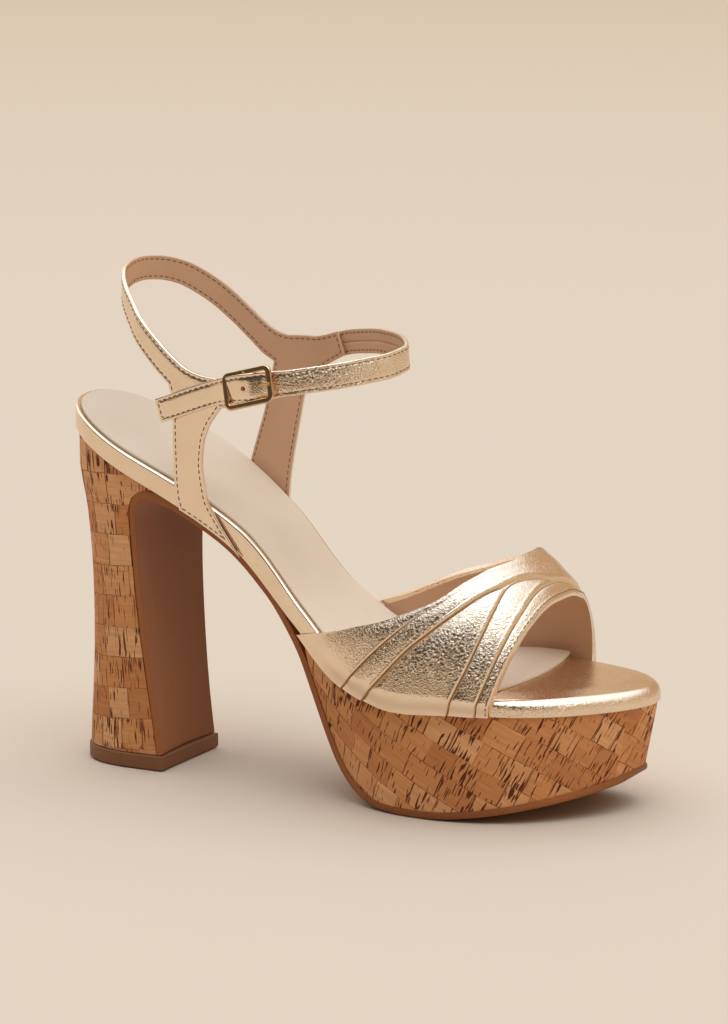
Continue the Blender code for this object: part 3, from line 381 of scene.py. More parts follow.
def linear(hex_value, alpha=1.0):
    """Linear colour of an sRGB hex value."""
    parts = [int(hex_value[i:i + 2], 16) / 255.0 for i in (0, 2, 4)]
    return (*[c / 12.92 if c <= 0.04045 else ((c + 0.055) / 1.055) ** 2.4 for c in parts], alpha)


# Curves and the footbed's form

def column(table, index):
    """One column of a table as an array."""
    return np.array([row[index] for row in table], dtype=float)


def smooth(keys, values, at):
    """Curve through the values with no overshoot between them."""
    keys = np.asarray(keys, dtype=float)
    values = np.asarray(values, dtype=float)
    steps = np.diff(keys)
    slopes = np.diff(values) / steps
    bend = np.zeros(len(keys))
    bend[0] = slopes[0]
    bend[-1] = slopes[-1]
    for i in range(1, len(keys) - 1):
        if slopes[i - 1] * slopes[i] > 0.0:
            near = 2.0 * steps[i] + steps[i - 1]
            far = steps[i] + 2.0 * steps[i - 1]
            bend[i] = (near + far) / (near / slopes[i - 1] + far / slopes[i])
    at = np.clip(np.asarray(at, dtype=float), keys[0], keys[-1])
    cell = np.clip(np.searchsorted(keys, at, side="right") - 1, 0, len(keys) - 2)
    width = steps[cell]
    t = (at - keys[cell]) / width
    start = (2.0 * t ** 3 - 3.0 * t ** 2 + 1.0) * values[cell]
    leave = (t ** 3 - 2.0 * t ** 2 + t) * width * bend[cell]
    end = (3.0 * t ** 2 - 2.0 * t ** 3) * values[cell + 1]
    arrive = (t ** 3 - t ** 2) * width * bend[cell + 1]
    return start + leave + end + arrive


def chord_lengths(points):
    """Distance along the points, starting at 0."""
    steps = np.linalg.norm(np.diff(points, axis=0), axis=1)
    return np.concatenate([[0.0], np.cumsum(steps)])


def open_curve(points, count):
    """Evenly spaced points on a smooth curve through the given ones, and where they lie on it."""
    points = np.asarray(points, dtype=float)
    keys = chord_lengths(points)
    at = np.linspace(0.0, keys[-1], count)
    line = np.stack([smooth(keys, points[:, axis], at) for axis in range(points.shape[1])], axis=1)
    return line, at / keys[-1]


def closed_curve(points, per_span):
    """Closed cubic spline through the points, with even curvature across each of them."""
    points = np.asarray(points, dtype=float)
    count = len(points)
    spans = np.linalg.norm(np.roll(points, -1, axis=0) - points, axis=1)
    system = np.zeros((count, count))
    right = np.zeros_like(points)
    for i in range(count):
        before = spans[i - 1]
        after = spans[i]
        system[i, i - 1] += after
        system[i, i] += 2.0 * (before + after)
        system[i, (i + 1) % count] += before
        fore = (points[(i + 1) % count] - points[i]) / after
        back = (points[i] - points[i - 1]) / before
        right[i] = 3.0 * (after * back + before * fore)
    tangents = np.linalg.solve(system, right)
    t = (np.arange(per_span) / per_span)[:, None]
    pieces = []
    for i in range(count):
        j = (i + 1) % count
        pieces.append(
            (2.0 * t ** 3 - 3.0 * t ** 2 + 1.0) * points[i]
            + (t ** 3 - 2.0 * t ** 2 + t) * spans[i] * tangents[i]
            + (3.0 * t ** 2 - 2.0 * t ** 3) * points[j]
            + (t ** 3 - t ** 2) * spans[i] * tangents[j]
        )
    return np.concatenate(pieces)


def plan_points():
    """The footbed's outline, closely spaced."""
    along = column(PLAN, 0) * INSOLE_LENGTH
    across = column(PLAN, 1) * column(PLAN, 2)
    return closed_curve(np.stack([along, across], axis=1), 40)


OUTLINE = plan_points()


def inward_ways():
    """Direction into the footbed at each point of its outline."""
    ahead = np.roll(OUTLINE, -1, axis=0) - np.roll(OUTLINE, 1, axis=0)
    ahead /= np.linalg.norm(ahead, axis=1)[:, None]
    return np.stack([-ahead[:, 1], ahead[:, 0]], axis=1)


def outline_sides(inset):
    """Outer and inner side of the outline moved in by a distance, each running back to toe."""
    moved = OUTLINE + inward_ways() * inset
    heel = int(np.argmin(moved[:, 0]))
    toe = (int(np.argmax(moved[:, 0])) - heel) % len(moved)
    moved = np.roll(moved, -heel, axis=0)
    return moved[:toe + 1], np.concatenate([moved[toe:], moved[:1]])[::-1]


def side_at(inset, x):
    """Outer and inner y of the moved outline at stations x."""
    outer, inner = outline_sides(inset)
    return np.interp(x, outer[:, 0], outer[:, 1]), np.interp(x, inner[:, 0], inner[:, 1])


def footbed_top(x):
    """Height of the footbed's top at stations x."""
    rise = smooth(column(PROFILE, 0), column(PROFILE, 1), np.asarray(x) / INSOLE_LENGTH)
    return PLATFORM_HEIGHT + rise * (HEEL_HEIGHT - PLATFORM_HEIGHT)


def height_below(x, depth):
    """Height of the surface that lies square below the footbed's top by a depth."""
    stations = np.linspace(0.0, INSOLE_LENGTH, 400)
    reach = 0.0005
    slope = (footbed_top(stations + reach) - footbed_top(stations - reach)) / (2.0 * reach)
    size = np.sqrt(1.0 + slope ** 2)
    return np.interp(x, stations + depth * slope / size, footbed_top(stations) - depth / size)


def ease(low, high, at):
    """Soft step from 0 at low to 1 at high."""
    t = np.clip((np.asarray(at, dtype=float) - low) / (high - low), 0.0, 1.0)
    return t * t * (3.0 - 2.0 * t)


def round_off(distance, radius):
    """How far a rounded edge lies under its flat, at a distance from the edge."""
    t = np.clip(np.asarray(distance, dtype=float) / radius, 0.0, 1.0)
    return radius * (1.0 - np.sqrt(1.0 - (1.0 - t) ** 2))


# Meshes

def grid_faces(rows, columns, start=0, flip=False):
    """Quads of a grid of points, row by row."""
    faces = []
    for r in range(rows - 1):
        for c in range(columns - 1):
            a = start + r * columns + c
            quad = (a, a + 1, a + columns + 1, a + columns)
            faces.append(quad[::-1] if flip else quad)
    return faces


def border_loop(rows, columns):
    """Indices round the border of a grid."""
    border = list(range(columns))
    border += [r * columns + columns - 1 for r in range(1, rows)]
    border += [(rows - 1) * columns + c for c in range(columns - 2, -1, -1)]
    border += [r * columns for r in range(rows - 2, 0, -1)]
    return border


def closed_sheet(first, second):
    """Points and faces of a closed wall between two grids of points of the same size."""
    rows, columns = first.shape[:2]
    size = rows * columns
    verts = np.concatenate([first.reshape(-1, 3), second.reshape(-1, 3)])
    faces = grid_faces(rows, columns) + grid_faces(rows, columns, size, True)
    border = border_loop(rows, columns)
    faces += [(a, size + a, size + b, b) for a, b in zip(border, border[1:] + border[:1])]
    return verts, faces


def pick(piece):
    """Select one object alone and make it active."""
    bpy.ops.object.select_all(action="DESELECT")
    piece.select_set(True)
    bpy.context.view_layer.objects.active = piece


def place_piece(piece, replaced, angle):
    """Smooth a piece's faces, set its body, and hide the CAD nodes that it stands for."""
    pick(piece)
    bpy.ops.object.shade_smooth_by_angle(angle=math.radians(angle))
    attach(piece, "root")
    if replaced:
        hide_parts(*replaced)
    return piece


def add_piece(name, verts, faces, materials, marks, replaced, slot, angle):
    """A finished piece: its mesh in world metres, its materials, and its place on the sandal.

    marks: each face's material.  replaced: CAD nodes it stands for.  angle: where edges turn sharp.
    """
    mesh = bpy.data.meshes.new(name)
    mesh.from_pydata([tuple(map(float, v)) for v in verts], [], faces)
    for material in materials:
        mesh.materials.append(material)
    if marks is not None:
        mesh.polygons.foreach_set("material_index", marks)
    mesh.update()
    piece = bpy.data.objects.new(name, mesh)
    bpy.context.collection.objects.link(piece)
    return place_piece(piece, replaced, angle)


def set_crinkle(piece, values):
    """Store on each point how strongly the foil is wrinkled there."""
    layer = piece.data.attributes.new("crinkle", "FLOAT", "POINT")
    layer.data.foreach_set("value", np.asarray(values, dtype=np.float32))


def surface_tree(verts, faces):
    """Search tree of a surface."""
    return BVHTree.FromPolygons([Vector(v) for v in verts], faces)


def seam_path(tree, edge, normals, margin, closed):
    """Line on a surface that follows an edge at a margin, without the bits that crowd a corner."""
    edge = np.asarray(edge, dtype=float)
    if closed:
        ahead = np.roll(edge, -1, axis=0) - np.roll(edge, 1, axis=0)
    else:
        ahead = np.gradient(edge, axis=0)
    ahead /= np.maximum(np.linalg.norm(ahead, axis=1), 1e-9)[:, None]
    inward = np.cross(normals, ahead)
    inward /= np.maximum(np.linalg.norm(inward, axis=1), 1e-9)[:, None]
    votes = 0.0
    for i in range(0, len(edge), max(1, len(edge) // 60)):
        here = [tree.find_nearest(Vector(edge[i] + s * margin * inward[i]))[3] for s in (1.0, -1.0)]
        votes += here[1] - here[0]
    if votes < 0.0:
        inward = -inward
    moved = edge + inward * margin
    near = KDTree(len(edge))
    for i, p in enumerate(edge):
        near.insert(Vector(p), i)
    near.balance()
    keep = [near.find(Vector(p))[2] > margin * 0.965 for p in moved]
    moved = moved[np.array(keep)]
    if closed:
        moved = np.concatenate([moved, moved[:1]])
    return moved


def stitch_row(tree, path, lift=0.00003):
    """Places of the stitches along a path: point, direction and normal of each."""
    keys = chord_lengths(path)
    count = max(2, int(keys[-1] / sizes().stitch_pitch))
    at = (np.arange(count) + 0.5) / count * keys[-1]
    rows = []
    for s in at:
        half = sizes().stitch_length / 2.0
        a, b = (
            np.array([np.interp(np.clip(s + d, 0.0, keys[-1]), keys, path[:, k]) for k in range(3)])
            for d in (-half, half)
        )
        place, normal, _, _ = tree.find_nearest(Vector((a + b) / 2.0))
        along = Vector(b - a)
        if along.length < half or place is None:
            continue
        along = (along - normal * along.dot(normal)).normalized()
        rows.append((place + normal * lift, along, normal))
    return rows


def make_stitches(name, rows, material):
    """All the stitches of one piece, copied from one short thread."""
    bpy.ops.object.select_all(action="DESELECT")
    bpy.ops.mesh.primitive_uv_sphere_add(segments=8, ring_count=5, radius=0.5)
    model = bpy.context.object
    shape = np.array([v.co[:] for v in model.data.vertices])
    quads = [tuple(p.vertices) for p in model.data.polygons]
    bpy.data.objects.remove(model)
    ends = np.sign(shape[:, 2]) * np.abs(shape[:, 2] * 2.0) ** 0.8 / 2.0
    verts = []
    faces = []
    for place, along, normal in rows:
        side = normal.cross(along)
        turn = np.array([side[:], normal[:], along[:]])
        scaled = np.stack([
            shape[:, 0] * sizes().stitch_width,
            shape[:, 1] * sizes().stitch_width * 0.8,
            ends * sizes().stitch_length,
        ], axis=1)
        start = len(verts)
        verts.extend(scaled @ turn + np.array(place))
        faces.extend(tuple(start + i for i in q) for q in quads)
    return add_piece(name, verts, faces, [material], None, (), "gold_leather", 80.0)


# Toe bands

def tunnel(across, x, offset):
    """Points of the toe bands' form: an arch from rim to rim at stations x, moved out by offset."""
    outer, inner = outline_sides(-UPPER_CLEARANCE)
    low_y = np.interp(x, outer[:, 0], outer[:, 1]) - offset
    high_y = np.interp(x, inner[:, 0], inner[:, 1]) + offset
    base = height_below(x, RIM_THICKNESS - 0.0002)
    rise = smooth(column(CROWN, 0), column(CROWN, 1), x / INSOLE_LENGTH) * VAMP_HEIGHT + offset
    c = math.cos(math.pi * across)
    s = math.sin(math.pi * across)
    power = 2.38 - 0.43 * ease(0.40, 0.65, across) * ease(0.60, 0.74, x / INSOLE_LENGTH)
    size = (abs(c) ** power + abs(s) ** power) ** (-1.0 / power)
    y = (low_y + high_y) / 2.0 - (high_y - low_y) / 2.0 * c * size
    return np.stack([x - STATION_ZERO, y, base + rise * s * size], axis=-1)


def band_lines(across):
    """Stations of the bands' eight lines at a share of the arch."""
    keys = column(BANDS, 0)
    lines = [float(smooth(keys, column(BANDS, k), across)) * INSOLE_LENGTH for k in range(1, 9)]
    for k in range(1, 8):
        lines[k] = max(lines[k], lines[k - 1] + 0.00012)
    return lines


def band_section(across):
    """Stations and wall thicknesses of one section of the bands, from the rear edge forwards."""
    lines = band_lines(across)
    low = BAND_WALL
    high = BAND_WALL + FOLD_STEP
    over = BAND_WALL + OVERLAY_STEP
    fade = 1.0 - float(ease(0.10, 0.19, across)) + float(ease(0.80, 0.90, across))
    over_high = over + FOLD_STEP * 0.8 * fade
    spans = (
        (low, high), (low, low), (over, over_high), (over, over), (low, high), (low, high), (low, low),
    )
    turned = 0 if across > 0.5 else 2
    stations = []
    walls = []
    for k, ((thin, thick), count) in enumerate(zip(spans, SPAN_COLUMNS)):
        start, end = lines[k:k + 2]
        width = end - start
        present = min(1.0, max(0.0, (width - 0.0002) / 0.0025))
        if k < 2:
            thin, thick = (over + (wall - over) * present for wall in (thin, thick))
        if k in (4, 5):
            thick = low + (thick - low) * present
        share = 1.0 - (1.0 - np.linspace(0.0, 1.0, count)) ** 1.9
        station = start + 0.00004 + (width - 0.00008) * share
        if k not in (0, 2) and width > 0.002:
            station[1] = start + 0.00038
            station[2] = max(station[2], start + 0.0009)
        if k == turned:
            near = np.array([0.0006, 0.0012, 0.0019]) * min(1.0, width / 0.006)
            station[1:4] = start + 0.00004 + near
            share = np.clip((station - start) / max(width, 1e-6), 0.0, 1.0)
        swell = FOLD_SWELL * min(1.0, width / 0.012) * np.sin(math.pi * share) ** 1.3
        bead = 0.00016 * np.exp(-((end - station - 0.0006) / 0.0003) ** 2)
        edge = (round_off(end - station, FOLD_RADIUS) - bead) * (1.0 if width > 0.0012 else 0.0)
        dip = FOLD_DIP * np.exp(-(station - start) / 0.00026) if k > 2 else 0.0
        if k == 2:
            edge = edge * min(1.0, fade)
        if k == 3:
            dip = dip * min(1.0, fade)
        stations.append(station)
        walls.append(thin + (thick - thin) * share ** 1.2 + swell - edge - dip)
    side = min(across, 1.0 - across)
    peak = 0.032
    past = min(1.0, max(0.0, 1.0 - (side - peak) / 0.26))
    puff = SIDE_PUFF * float(ease(0.0, peak, side)) * past ** 1.5
    station = np.concatenate(stations)
    forward = 0.35 + 0.65 * ease(0.52, 0.64, station / INSOLE_LENGTH)
    return station, np.concatenate(walls) + puff * forward


class SANDAL_OT_toe_bands(bpy.types.Operator):
    """Crossed, gathered toe bands with their folds, lining and stitched edge"""

    bl_idname = "sandal.toe_bands"
    bl_label = "Toe bands"

    def execute(self, context):
        inner = []
        outer = []
        wear_and_shade = []
        marks = []
        for across in np.linspace(0.0, 1.0, BAND_ROWS):
            x, wall = band_section(across)
            inner.append(tunnel(across, x, 0.0))
            outer.append(tunnel(across, x, wall))
            side = min(across, 1.0 - across)
            crumpled = ease(0.50, 0.60, x / INSOLE_LENGTH) * (1.0 - 0.5 * ease(0.3, 0.45, side))
            wear_and_shade.append(ease(0.015, 0.07, side) * crumpled)
            if across > 0.0:
                marks += [0 if turned else 1 for turned in x[1:] - x[0] < 0.0021]
        inner = np.array(inner)
        outer = np.array(outer)
        columns = inner.shape[1]
        verts, faces = closed_sheet(inner, outer)
        outside = np.zeros((BAND_ROWS - 1, columns - 1), dtype=int)
        # Painted highlight on the two columns of faces at each fold's edge, and painted shade on the
        # column just past it
        for end in SPAN_ENDS[2:6]:
            outside[:, end - 1:end + 1] = 2
            outside[:, end + 1] = 3
        end = SPAN_ENDS[2]
        outside[int(BAND_ROWS * 0.17):int(BAND_ROWS * 0.8), end - 1:end + 2] = 0
        marks += list(outside.reshape(-1))
        marks += [0] * (len(faces) - len(marks))
        foil = foil_leather()
        bands = add_piece(
            "toe_bands", verts, faces, [foil, lining_leather(), fold_highlight(), fold_shade()],
            marks, ("vamp",), "gold_leather", 50.0,
        )
        set_crinkle(bands, np.tile(np.array(wear_and_shade).reshape(-1), 2))
        tree = surface_tree(outer.reshape(-1, 3), grid_faces(BAND_ROWS, columns))
        edge = outer[:, -1]
        side = outer[:, -4] - edge
        ahead = np.gradient(edge, axis=0)
        normals = np.cross(ahead, side)
        normals /= np.linalg.norm(normals, axis=1)[:, None]
        path = seam_path(tree, edge, normals, sizes().seam_margin, False)
        make_stitches("toe_band_stitches", stitch_row(tree, path), sewing_thread())
        return {"FINISHED"}


# Straps

def ring_point(along, across, rise):
    """Point of the straps' ring round the ankle."""
    return (
        ANKLE_BACK + along * ANKLE_LENGTH,
        across * ANKLE_WIDTH / 2.0,
        HEEL_HEIGHT + rise * COLLAR_RISE,
    )


def strap_grid(table, count, sides):
    """Grid of a strap along its centre line, upright in the ring."""
    points = np.array([ring_point(*row[:3]) for row in table])
    line, share = open_curve(points, count)
    keys = chord_lengths(points)
    keys = keys / keys[-1]
    width = smooth(keys, column(table, 3), share) * STRAP_WIDTH
    lift = np.zeros(count)
    lean = np.zeros(count)
    if len(table[0]) > 4:
        lift = smooth(keys, column(table, 4), share) * STRAP_WALL
        lean = smooth(keys, column(table, 5), share)
    ahead = np.gradient(line, axis=0)
    for _ in range(6):
        ahead[1:-1] = (ahead[:-2] + ahead[1:-1] * 2.0 + ahead[2:]) / 4.0
    ahead /= np.linalg.norm(ahead, axis=1)[:, None]
    middle = np.array([ANKLE_BACK + ANKLE_LENGTH / 2.0, 0.0])
    grid = np.zeros((count, len(sides), 3))
    for i in range(count):
        out = np.array([ahead[i, 1], -ahead[i, 0], 0.0])
        out /= np.linalg.norm(out)
        if np.dot(out[:2], line[i, :2] - middle) < 0.0:
            out = -out
        up = np.cross(out, ahead[i])
        if up[2] < 0.0:
            up = -up
        for c, side in enumerate(sides):
            grid[i, c] = line[i] + (up - out * lean[i]) * side * width[i] + out * lift[i]
    return grid


def leg_grid(top_row, legs, side, rows):
    """Grid of a leg from a row of points on the strap's lower edge down to the rim."""
    down = np.linspace(0.0, 1.0, rows)
    rear = ANKLE_BACK + smooth(column(legs, 0), column(legs, 1), down) * ANKLE_LENGTH
    front = ANKLE_BACK + smooth(column(legs, 0), column(legs, 2), down) * ANKLE_LENGTH
    order = top_row[np.argsort(top_row[:, 0])]
    grid = np.zeros((rows, len(order), 3))
    place = (order[:, 0] - order[0, 0]) / (order[-1, 0] - order[0, 0])
    for r, v in enumerate(down):
        x = rear[r] + (front[r] - rear[r]) * place
        x = x + (order[:, 0] - (rear[0] + (front[0] - rear[0]) * place)) * (1.0 - v) ** 4
        base = height_below(x, RIM_THICKNESS - 0.0002)
        low_y, high_y = side_at(-UPPER_CLEARANCE, x)
        foot = low_y if side < 0 else high_y
        y = order[:, 1] + (foot - order[:, 1]) * (3.0 * v ** 2 - 2.0 * v ** 3)
        grid[r] = np.stack([x, y, order[:, 2] + (base - order[:, 2]) * v], axis=1)
    return grid


def buckle_axes():
    """Matrix of the buckle's middle on the ring: along the strap, up it and out of it."""
    grid = strap_grid(HEEL_STRAP, 200, (0.0,))[:, 0]
    line = grid[grid[:, 1] < 0.0]
    line = line[np.argsort(line[:, 0])]
    middle = ANKLE_BACK + BUCKLE_ALONG * ANKLE_LENGTH
    rear, fore, here = (
        np.array([np.interp(x, line[:, 0], line[:, k]) for k in range(3)])
        for x in (middle - 0.010, middle - 0.002, middle)
    )
    along = Vector(fore - rear).normalized()
    out = Vector((along.y, -along.x, 0.0)).normalized()
    up = out.cross(along)
    here[0] -= STATION_ZERO
    turn = Matrix((along, up, out)).transposed().to_4x4()
    turn.translation = Vector(here) + along * BUCKLE_SHIFT + up * 0.0003
    return turn


def strap_sides():
    """Places across a strap, closer together at its edges."""
    half = np.array([0.5, 0.485, 0.465, 0.435, 0.395, 0.36, 0.325, 0.28, 0.21, 0.11, 0.05, 0.022])
    return np.concatenate([half, [0.0], -half[::-1]])


def make_strap(name, verts, faces, replaced, seam=0.0, wear_and_shade=(0.0, 0.0)):
    """A sewn strap from its open sheet: padded face, lining, rounded edges and two stitch rows.

    seam: depth of the join along the middle of its lining.  worn: stations where wrinkles set in.
    """
    bm = bmesh.new()
    points = [bm.verts.new((v[0] - STATION_ZERO, v[1], v[2])) for v in verts]
    for face in faces:
        bm.faces.new([points[i] for i in face])
    bmesh.ops.remove_doubles(bm, verts=bm.verts, dist=2e-6)
    bmesh.ops.recalc_face_normals(bm, faces=bm.faces)
    middle = Vector((ANKLE_BACK + ANKLE_LENGTH / 2.0 - STATION_ZERO, 0.0, 0.0))
    total = 0.0
    for face in bm.faces:
        away = face.calc_center_median() - middle
        away.z = 0.0
        total += face.calc_area() * face.normal.dot(away.normalized())
    if total < 0.0:
        bmesh.ops.reverse_faces(bm, faces=bm.faces)
    bm.normal_update()
    bm.verts.index_update()
    sheet = np.array([v.co[:] for v in bm.verts])
    normals = np.array([v.normal[:] for v in bm.verts])
    quads = [tuple(v.index for v in f.verts) for f in bm.faces]
    loop = []
    edges = {}
    for edge in bm.edges:
        if edge.is_boundary:
            face = edge.link_faces[0]
            order = [v.index for v in face.verts]
            a, b = edge.verts[0].index, edge.verts[1].index
            if order[(order.index(a) + 1) % len(order)] != b:
                a, b = b, a
            edges[a] = b
    bm.free()
    start = next(iter(edges))
    here = start
    while True:
        loop.append(here)
        here = edges[here]
        if here == start:
            break
    border = sheet[loop]
    near = KDTree(len(border) * 2)
    for i, p in enumerate(border):
        near.insert(Vector(p), i)
        near.insert(Vector((p + border[(i + 1) % len(border)]) / 2.0), i)
    near.balance()
    depth = np.array([near.find(Vector(p))[2] for p in sheet])
    margin = sizes().seam_margin
    groove = sizes().groove_depth * np.exp(-((depth - margin) / 0.00038) ** 2)
    swell = sizes().puff * ease(margin, margin + 0.0016, depth)
    face_lift = STRAP_WALL + swell - groove - round_off(depth, 0.00042)
    back_lift = groove * 0.6 + round_off(depth, 0.0003)
    back_lift += seam * np.exp(-((depth - STRAP_WIDTH / 2.0) / 0.00022) ** 2)
    outer = sheet + normals * face_lift[:, None]
    inner = sheet + normals * back_lift[:, None]
    count = len(sheet)
    solid = [tuple(q) for q in quads] + [tuple(count + i for i in q[::-1]) for q in quads]
    for a, b in zip(loop, loop[1:] + loop[:1]):
        solid.append((b, a, count + a, count + b))
    marks = [0] * len(quads) + [1] * len(quads) + [0] * len(loop)
    piece = add_piece(
        name, np.concatenate([outer, inner]), solid, [foil_leather(), lining_leather()],
        marks, replaced, "gold_leather", 60.0,
    )
    wrinkled = 0.20 + 0.0 * depth
    if wear_and_shade[1] > wear_and_shade[0]:
        wrinkled = 0.16 + 0.74 * ease(wear_and_shade[0], wear_and_shade[1], sheet[:, 0])
    set_crinkle(piece, np.tile(wrinkled, 2))
    rows = []
    for surface, turn in ((outer, 1.0), (inner, -1.0)):
        tree = surface_tree(surface, [q if turn > 0 else q[::-1] for q in quads])
        path = seam_path(tree, surface[loop], normals[loop] * turn, margin, True)
        rows += stitch_row(tree, path)
    make_stitches(name + "_stitches", rows, sewing_thread())
    return piece


class SANDAL_OT_heel_strap(bpy.types.Operator):
    """Heel strap with its two tabs and legs, cut as one piece"""

    bl_idname = "sandal.heel_strap"
    bl_label = "Heel strap"

    def execute(self, context):
        sides = strap_sides()
        grid = strap_grid(HEEL_STRAP, STRAP_ROWS, sides)
        verts = [tuple(p) for p in grid.reshape(-1, 3)]
        faces = grid_faces(STRAP_ROWS, len(sides))
        edge = grid[:, -1]
        station = (edge[:, 0] - ANKLE_BACK) / ANKLE_LENGTH
        for legs, span, side in ((OUTER_LEG, OUTER_LEG_SPAN, -1.0), (INNER_LEG, INNER_LEG_SPAN, 1.0)):
            keep = (station >= span[0]) & (station <= span[1]) & (edge[:, 1] * side > 0.0)
            leg = leg_grid(edge[keep], legs, side, LEG_ROWS)
            start = len(verts)
            verts += [tuple(p) for p in leg.reshape(-1, 3)]
            faces += grid_faces(leg.shape[0], leg.shape[1], start)
        make_strap("heel_strap", verts, faces, ("quarter_strap",))
        return {"FINISHED"}


def punch_holes(band):
    """Cut the prong's hole and its two neighbours through the strap."""
    place = buckle_axes()
    for shift in (PRONG_HOLE - HOLE_PITCH, PRONG_HOLE, PRONG_HOLE + HOLE_PITCH):
        bpy.ops.object.select_all(action="DESELECT")
        bpy.ops.mesh.primitive_cylinder_add(vertices=20, radius=HOLE_RADIUS, depth=0.006)
        punch = bpy.context.object
        punch.data.transform(place @ Matrix.Translation((shift, 0.0, 0.0045)))
        punch.data.materials.append(lining_leather())
        cut = band.modifiers.new("hole", "BOOLEAN")
        cut.operation = "DIFFERENCE"
        cut.solver = "EXACT"
        cut.object = punch
        bpy.context.view_layer.objects.active = band
        bpy.ops.object.modifier_apply(modifier=cut.name)
        bpy.data.objects.remove(punch)


class SANDAL_OT_ankle_band(bpy.types.Operator):
    """Ankle strap from its seam round the front and through the buckle"""

    bl_idname = "sandal.ankle_band"
    bl_label = "Ankle strap"

    def execute(self, context):
        sides = strap_sides()
        grid = strap_grid(ANKLE_STRAP, STRAP_ROWS, sides)
        band = make_strap(
            "ankle_band", [tuple(p) for p in grid.reshape(-1, 3)], grid_faces(STRAP_ROWS, len(sides)),
            ("ankle_strap",), 0.0004, (0.062, 0.080),
        )
        punch_holes(band)
        return {"FINISHED"}


# Materials.  A noise's scale counts its waves a metre: 110 gives clouds of 9 mm, 1600 a grain of 0.6 mm

def link(tree, node, **links):
    """Link a node's named or numbered inputs to sockets, or to the first output of other nodes."""
    for key, source in links.items():
        socket = node.inputs[int(key[1:]) if key[1:].isdigit() else key.replace("_", " ")]
        tree.links.new(source.outputs[0] if isinstance(source, bpy.types.Node) else source, socket)


def add_node(tree, kind, settings=None, **links):
    """Add a node, set its values, sockets and ramp colours, and link its inputs."""
    node = tree.nodes.new("ShaderNode" + kind)
    for key, value in (settings or {}).items():
        if key == "ramp":
            stops = node.color_ramp.elements
            for place, _ in value[1:-1]:
                stops.new(place)
            for stop, (_, colour) in zip(stops, value):
                stop.color = colour
        elif isinstance(key, int) or key in node.inputs.keys():
            node.inputs[key].default_value = value
        else:
            setattr(node, key, value)
    link(tree, node, **links)
    return node


def tones(*hex_values):
    """Ramp settings that run evenly through some sRGB colours."""
    last = len(hex_values) - 1
    return {"ramp": [(i / last, linear(value)) for i, value in enumerate(hex_values)]}


def new_material(name, **sockets):
    """A principled material with its fixed values, its parts, and places on the object.

    Where the material is there already, its tree is None.
    """
    if name in bpy.data.materials:
        return bpy.data.materials[name], None, None, None
    material = bpy.data.materials.new(name)
    material.use_nodes = True
    tree = material.node_tree
    shader = tree.nodes["Principled BSDF"]
    for key, value in sockets.items():
        shader.inputs[key.replace("_", " ")].default_value = value
    return material, tree, shader, add_node(tree, "TexCoord").outputs["Object"]


def foil_leather(name="gold_foil_leather", low="EAD2B5", high=None, dull=0.0):
    """Gold foil on split leather: a soft mirror that fine wrinkles break into bright and dark.

    dull: roughness added where feet rub the foil.
    """
    material, tree, shader, place = new_material(name, Metallic=0.98)
    if tree is None:
        return material
    waves = 1.0 / sizes().crinkle
    wear_and_shade = add_node(tree, "Attribute", {"attribute_name": "crinkle"}).outputs["Fac"]
    crease = add_node(tree, "TexNoise", {
        "Scale": waves * 0.92, "Detail": 2.0, "Roughness": 0.5, "Distortion": 0.5,
    }, Vector=place)
    centred = add_node(tree, "Math", {"operation": "SUBTRACT", 1: 0.5}, i0=crease)
    ridge = add_node(tree, "Math", {"operation": "ABSOLUTE"}, i0=centred)
    grain = add_node(tree, "TexNoise", {"Scale": waves * 1.6, "Detail": 3.0}, Vector=place)
    soft = add_node(tree, "TexNoise", {"Scale": 110.0, "Detail": 2.0}, Vector=place)
    deep = add_node(tree, "Math", {"operation": "MULTIPLY"}, i0=ridge, i1=wear_and_shade)
    faint = add_node(tree, "Math", {"operation": "MULTIPLY", 1: 0.05}, i0=grain)
    mixed = add_node(tree, "Math", {"operation": "ADD"}, i0=deep, i1=faint)
    fine = add_node(tree, "Bump", {"Strength": 1.0, "Distance": 0.00045}, Height=mixed)
    broad = add_node(tree, "Bump", {"Strength": 0.4, "Distance": 0.0003}, Height=soft, Normal=fine)
    tone = add_node(tree, "ValToRGB", tones(low, high or colours().foil), Fac=soft)
    rough = add_node(tree, "MapRange", {
        "From Min": 0.3, "From Max": 0.7, "To Min": 0.10 + dull, "To Max": 0.15 + dull * 1.3,
    }, Value=grain)
    link(tree, shader, Base_Color=tone, Roughness=rough, Normal=broad)
    return material


def clouded_foil(name, metallic, waves, low, high, smooth_to, rough_to):
    """Foil whose tone and gloss drift together with one noise."""
    material, tree, shader, place = new_material(name, Metallic=metallic)
    if tree is None:
        return material
    cloud = add_node(tree, "TexNoise", {"Scale": waves, "Detail": 3.0}, Vector=place)
    tone = add_node(tree, "ValToRGB", tones(low, high), Fac=cloud)
    rough = add_node(tree, "MapRange", {"To Min": smooth_to, "To Max": rough_to}, Value=cloud)
    link(tree, shader, Base_Color=tone, Roughness=rough)
    return material


def fold_highlight():
    """Folded edge of the foil leather, half metallic so it reads as a pale line: a painted highlight
    along each fold.
    """
    return clouded_foil("painted_highlight_on_folds", 0.5, 900.0, "D4AE7E", "F0D6AE", 0.3, 0.45)


def fold_shade():
    """Foil in the hollow beside a fold, painted dark and a little dull: painted shade in the hollow."""
    return clouded_foil("shaded_foil_crease", 0.7, 700.0, "6E5133", "B08A60", 0.35, 0.5)


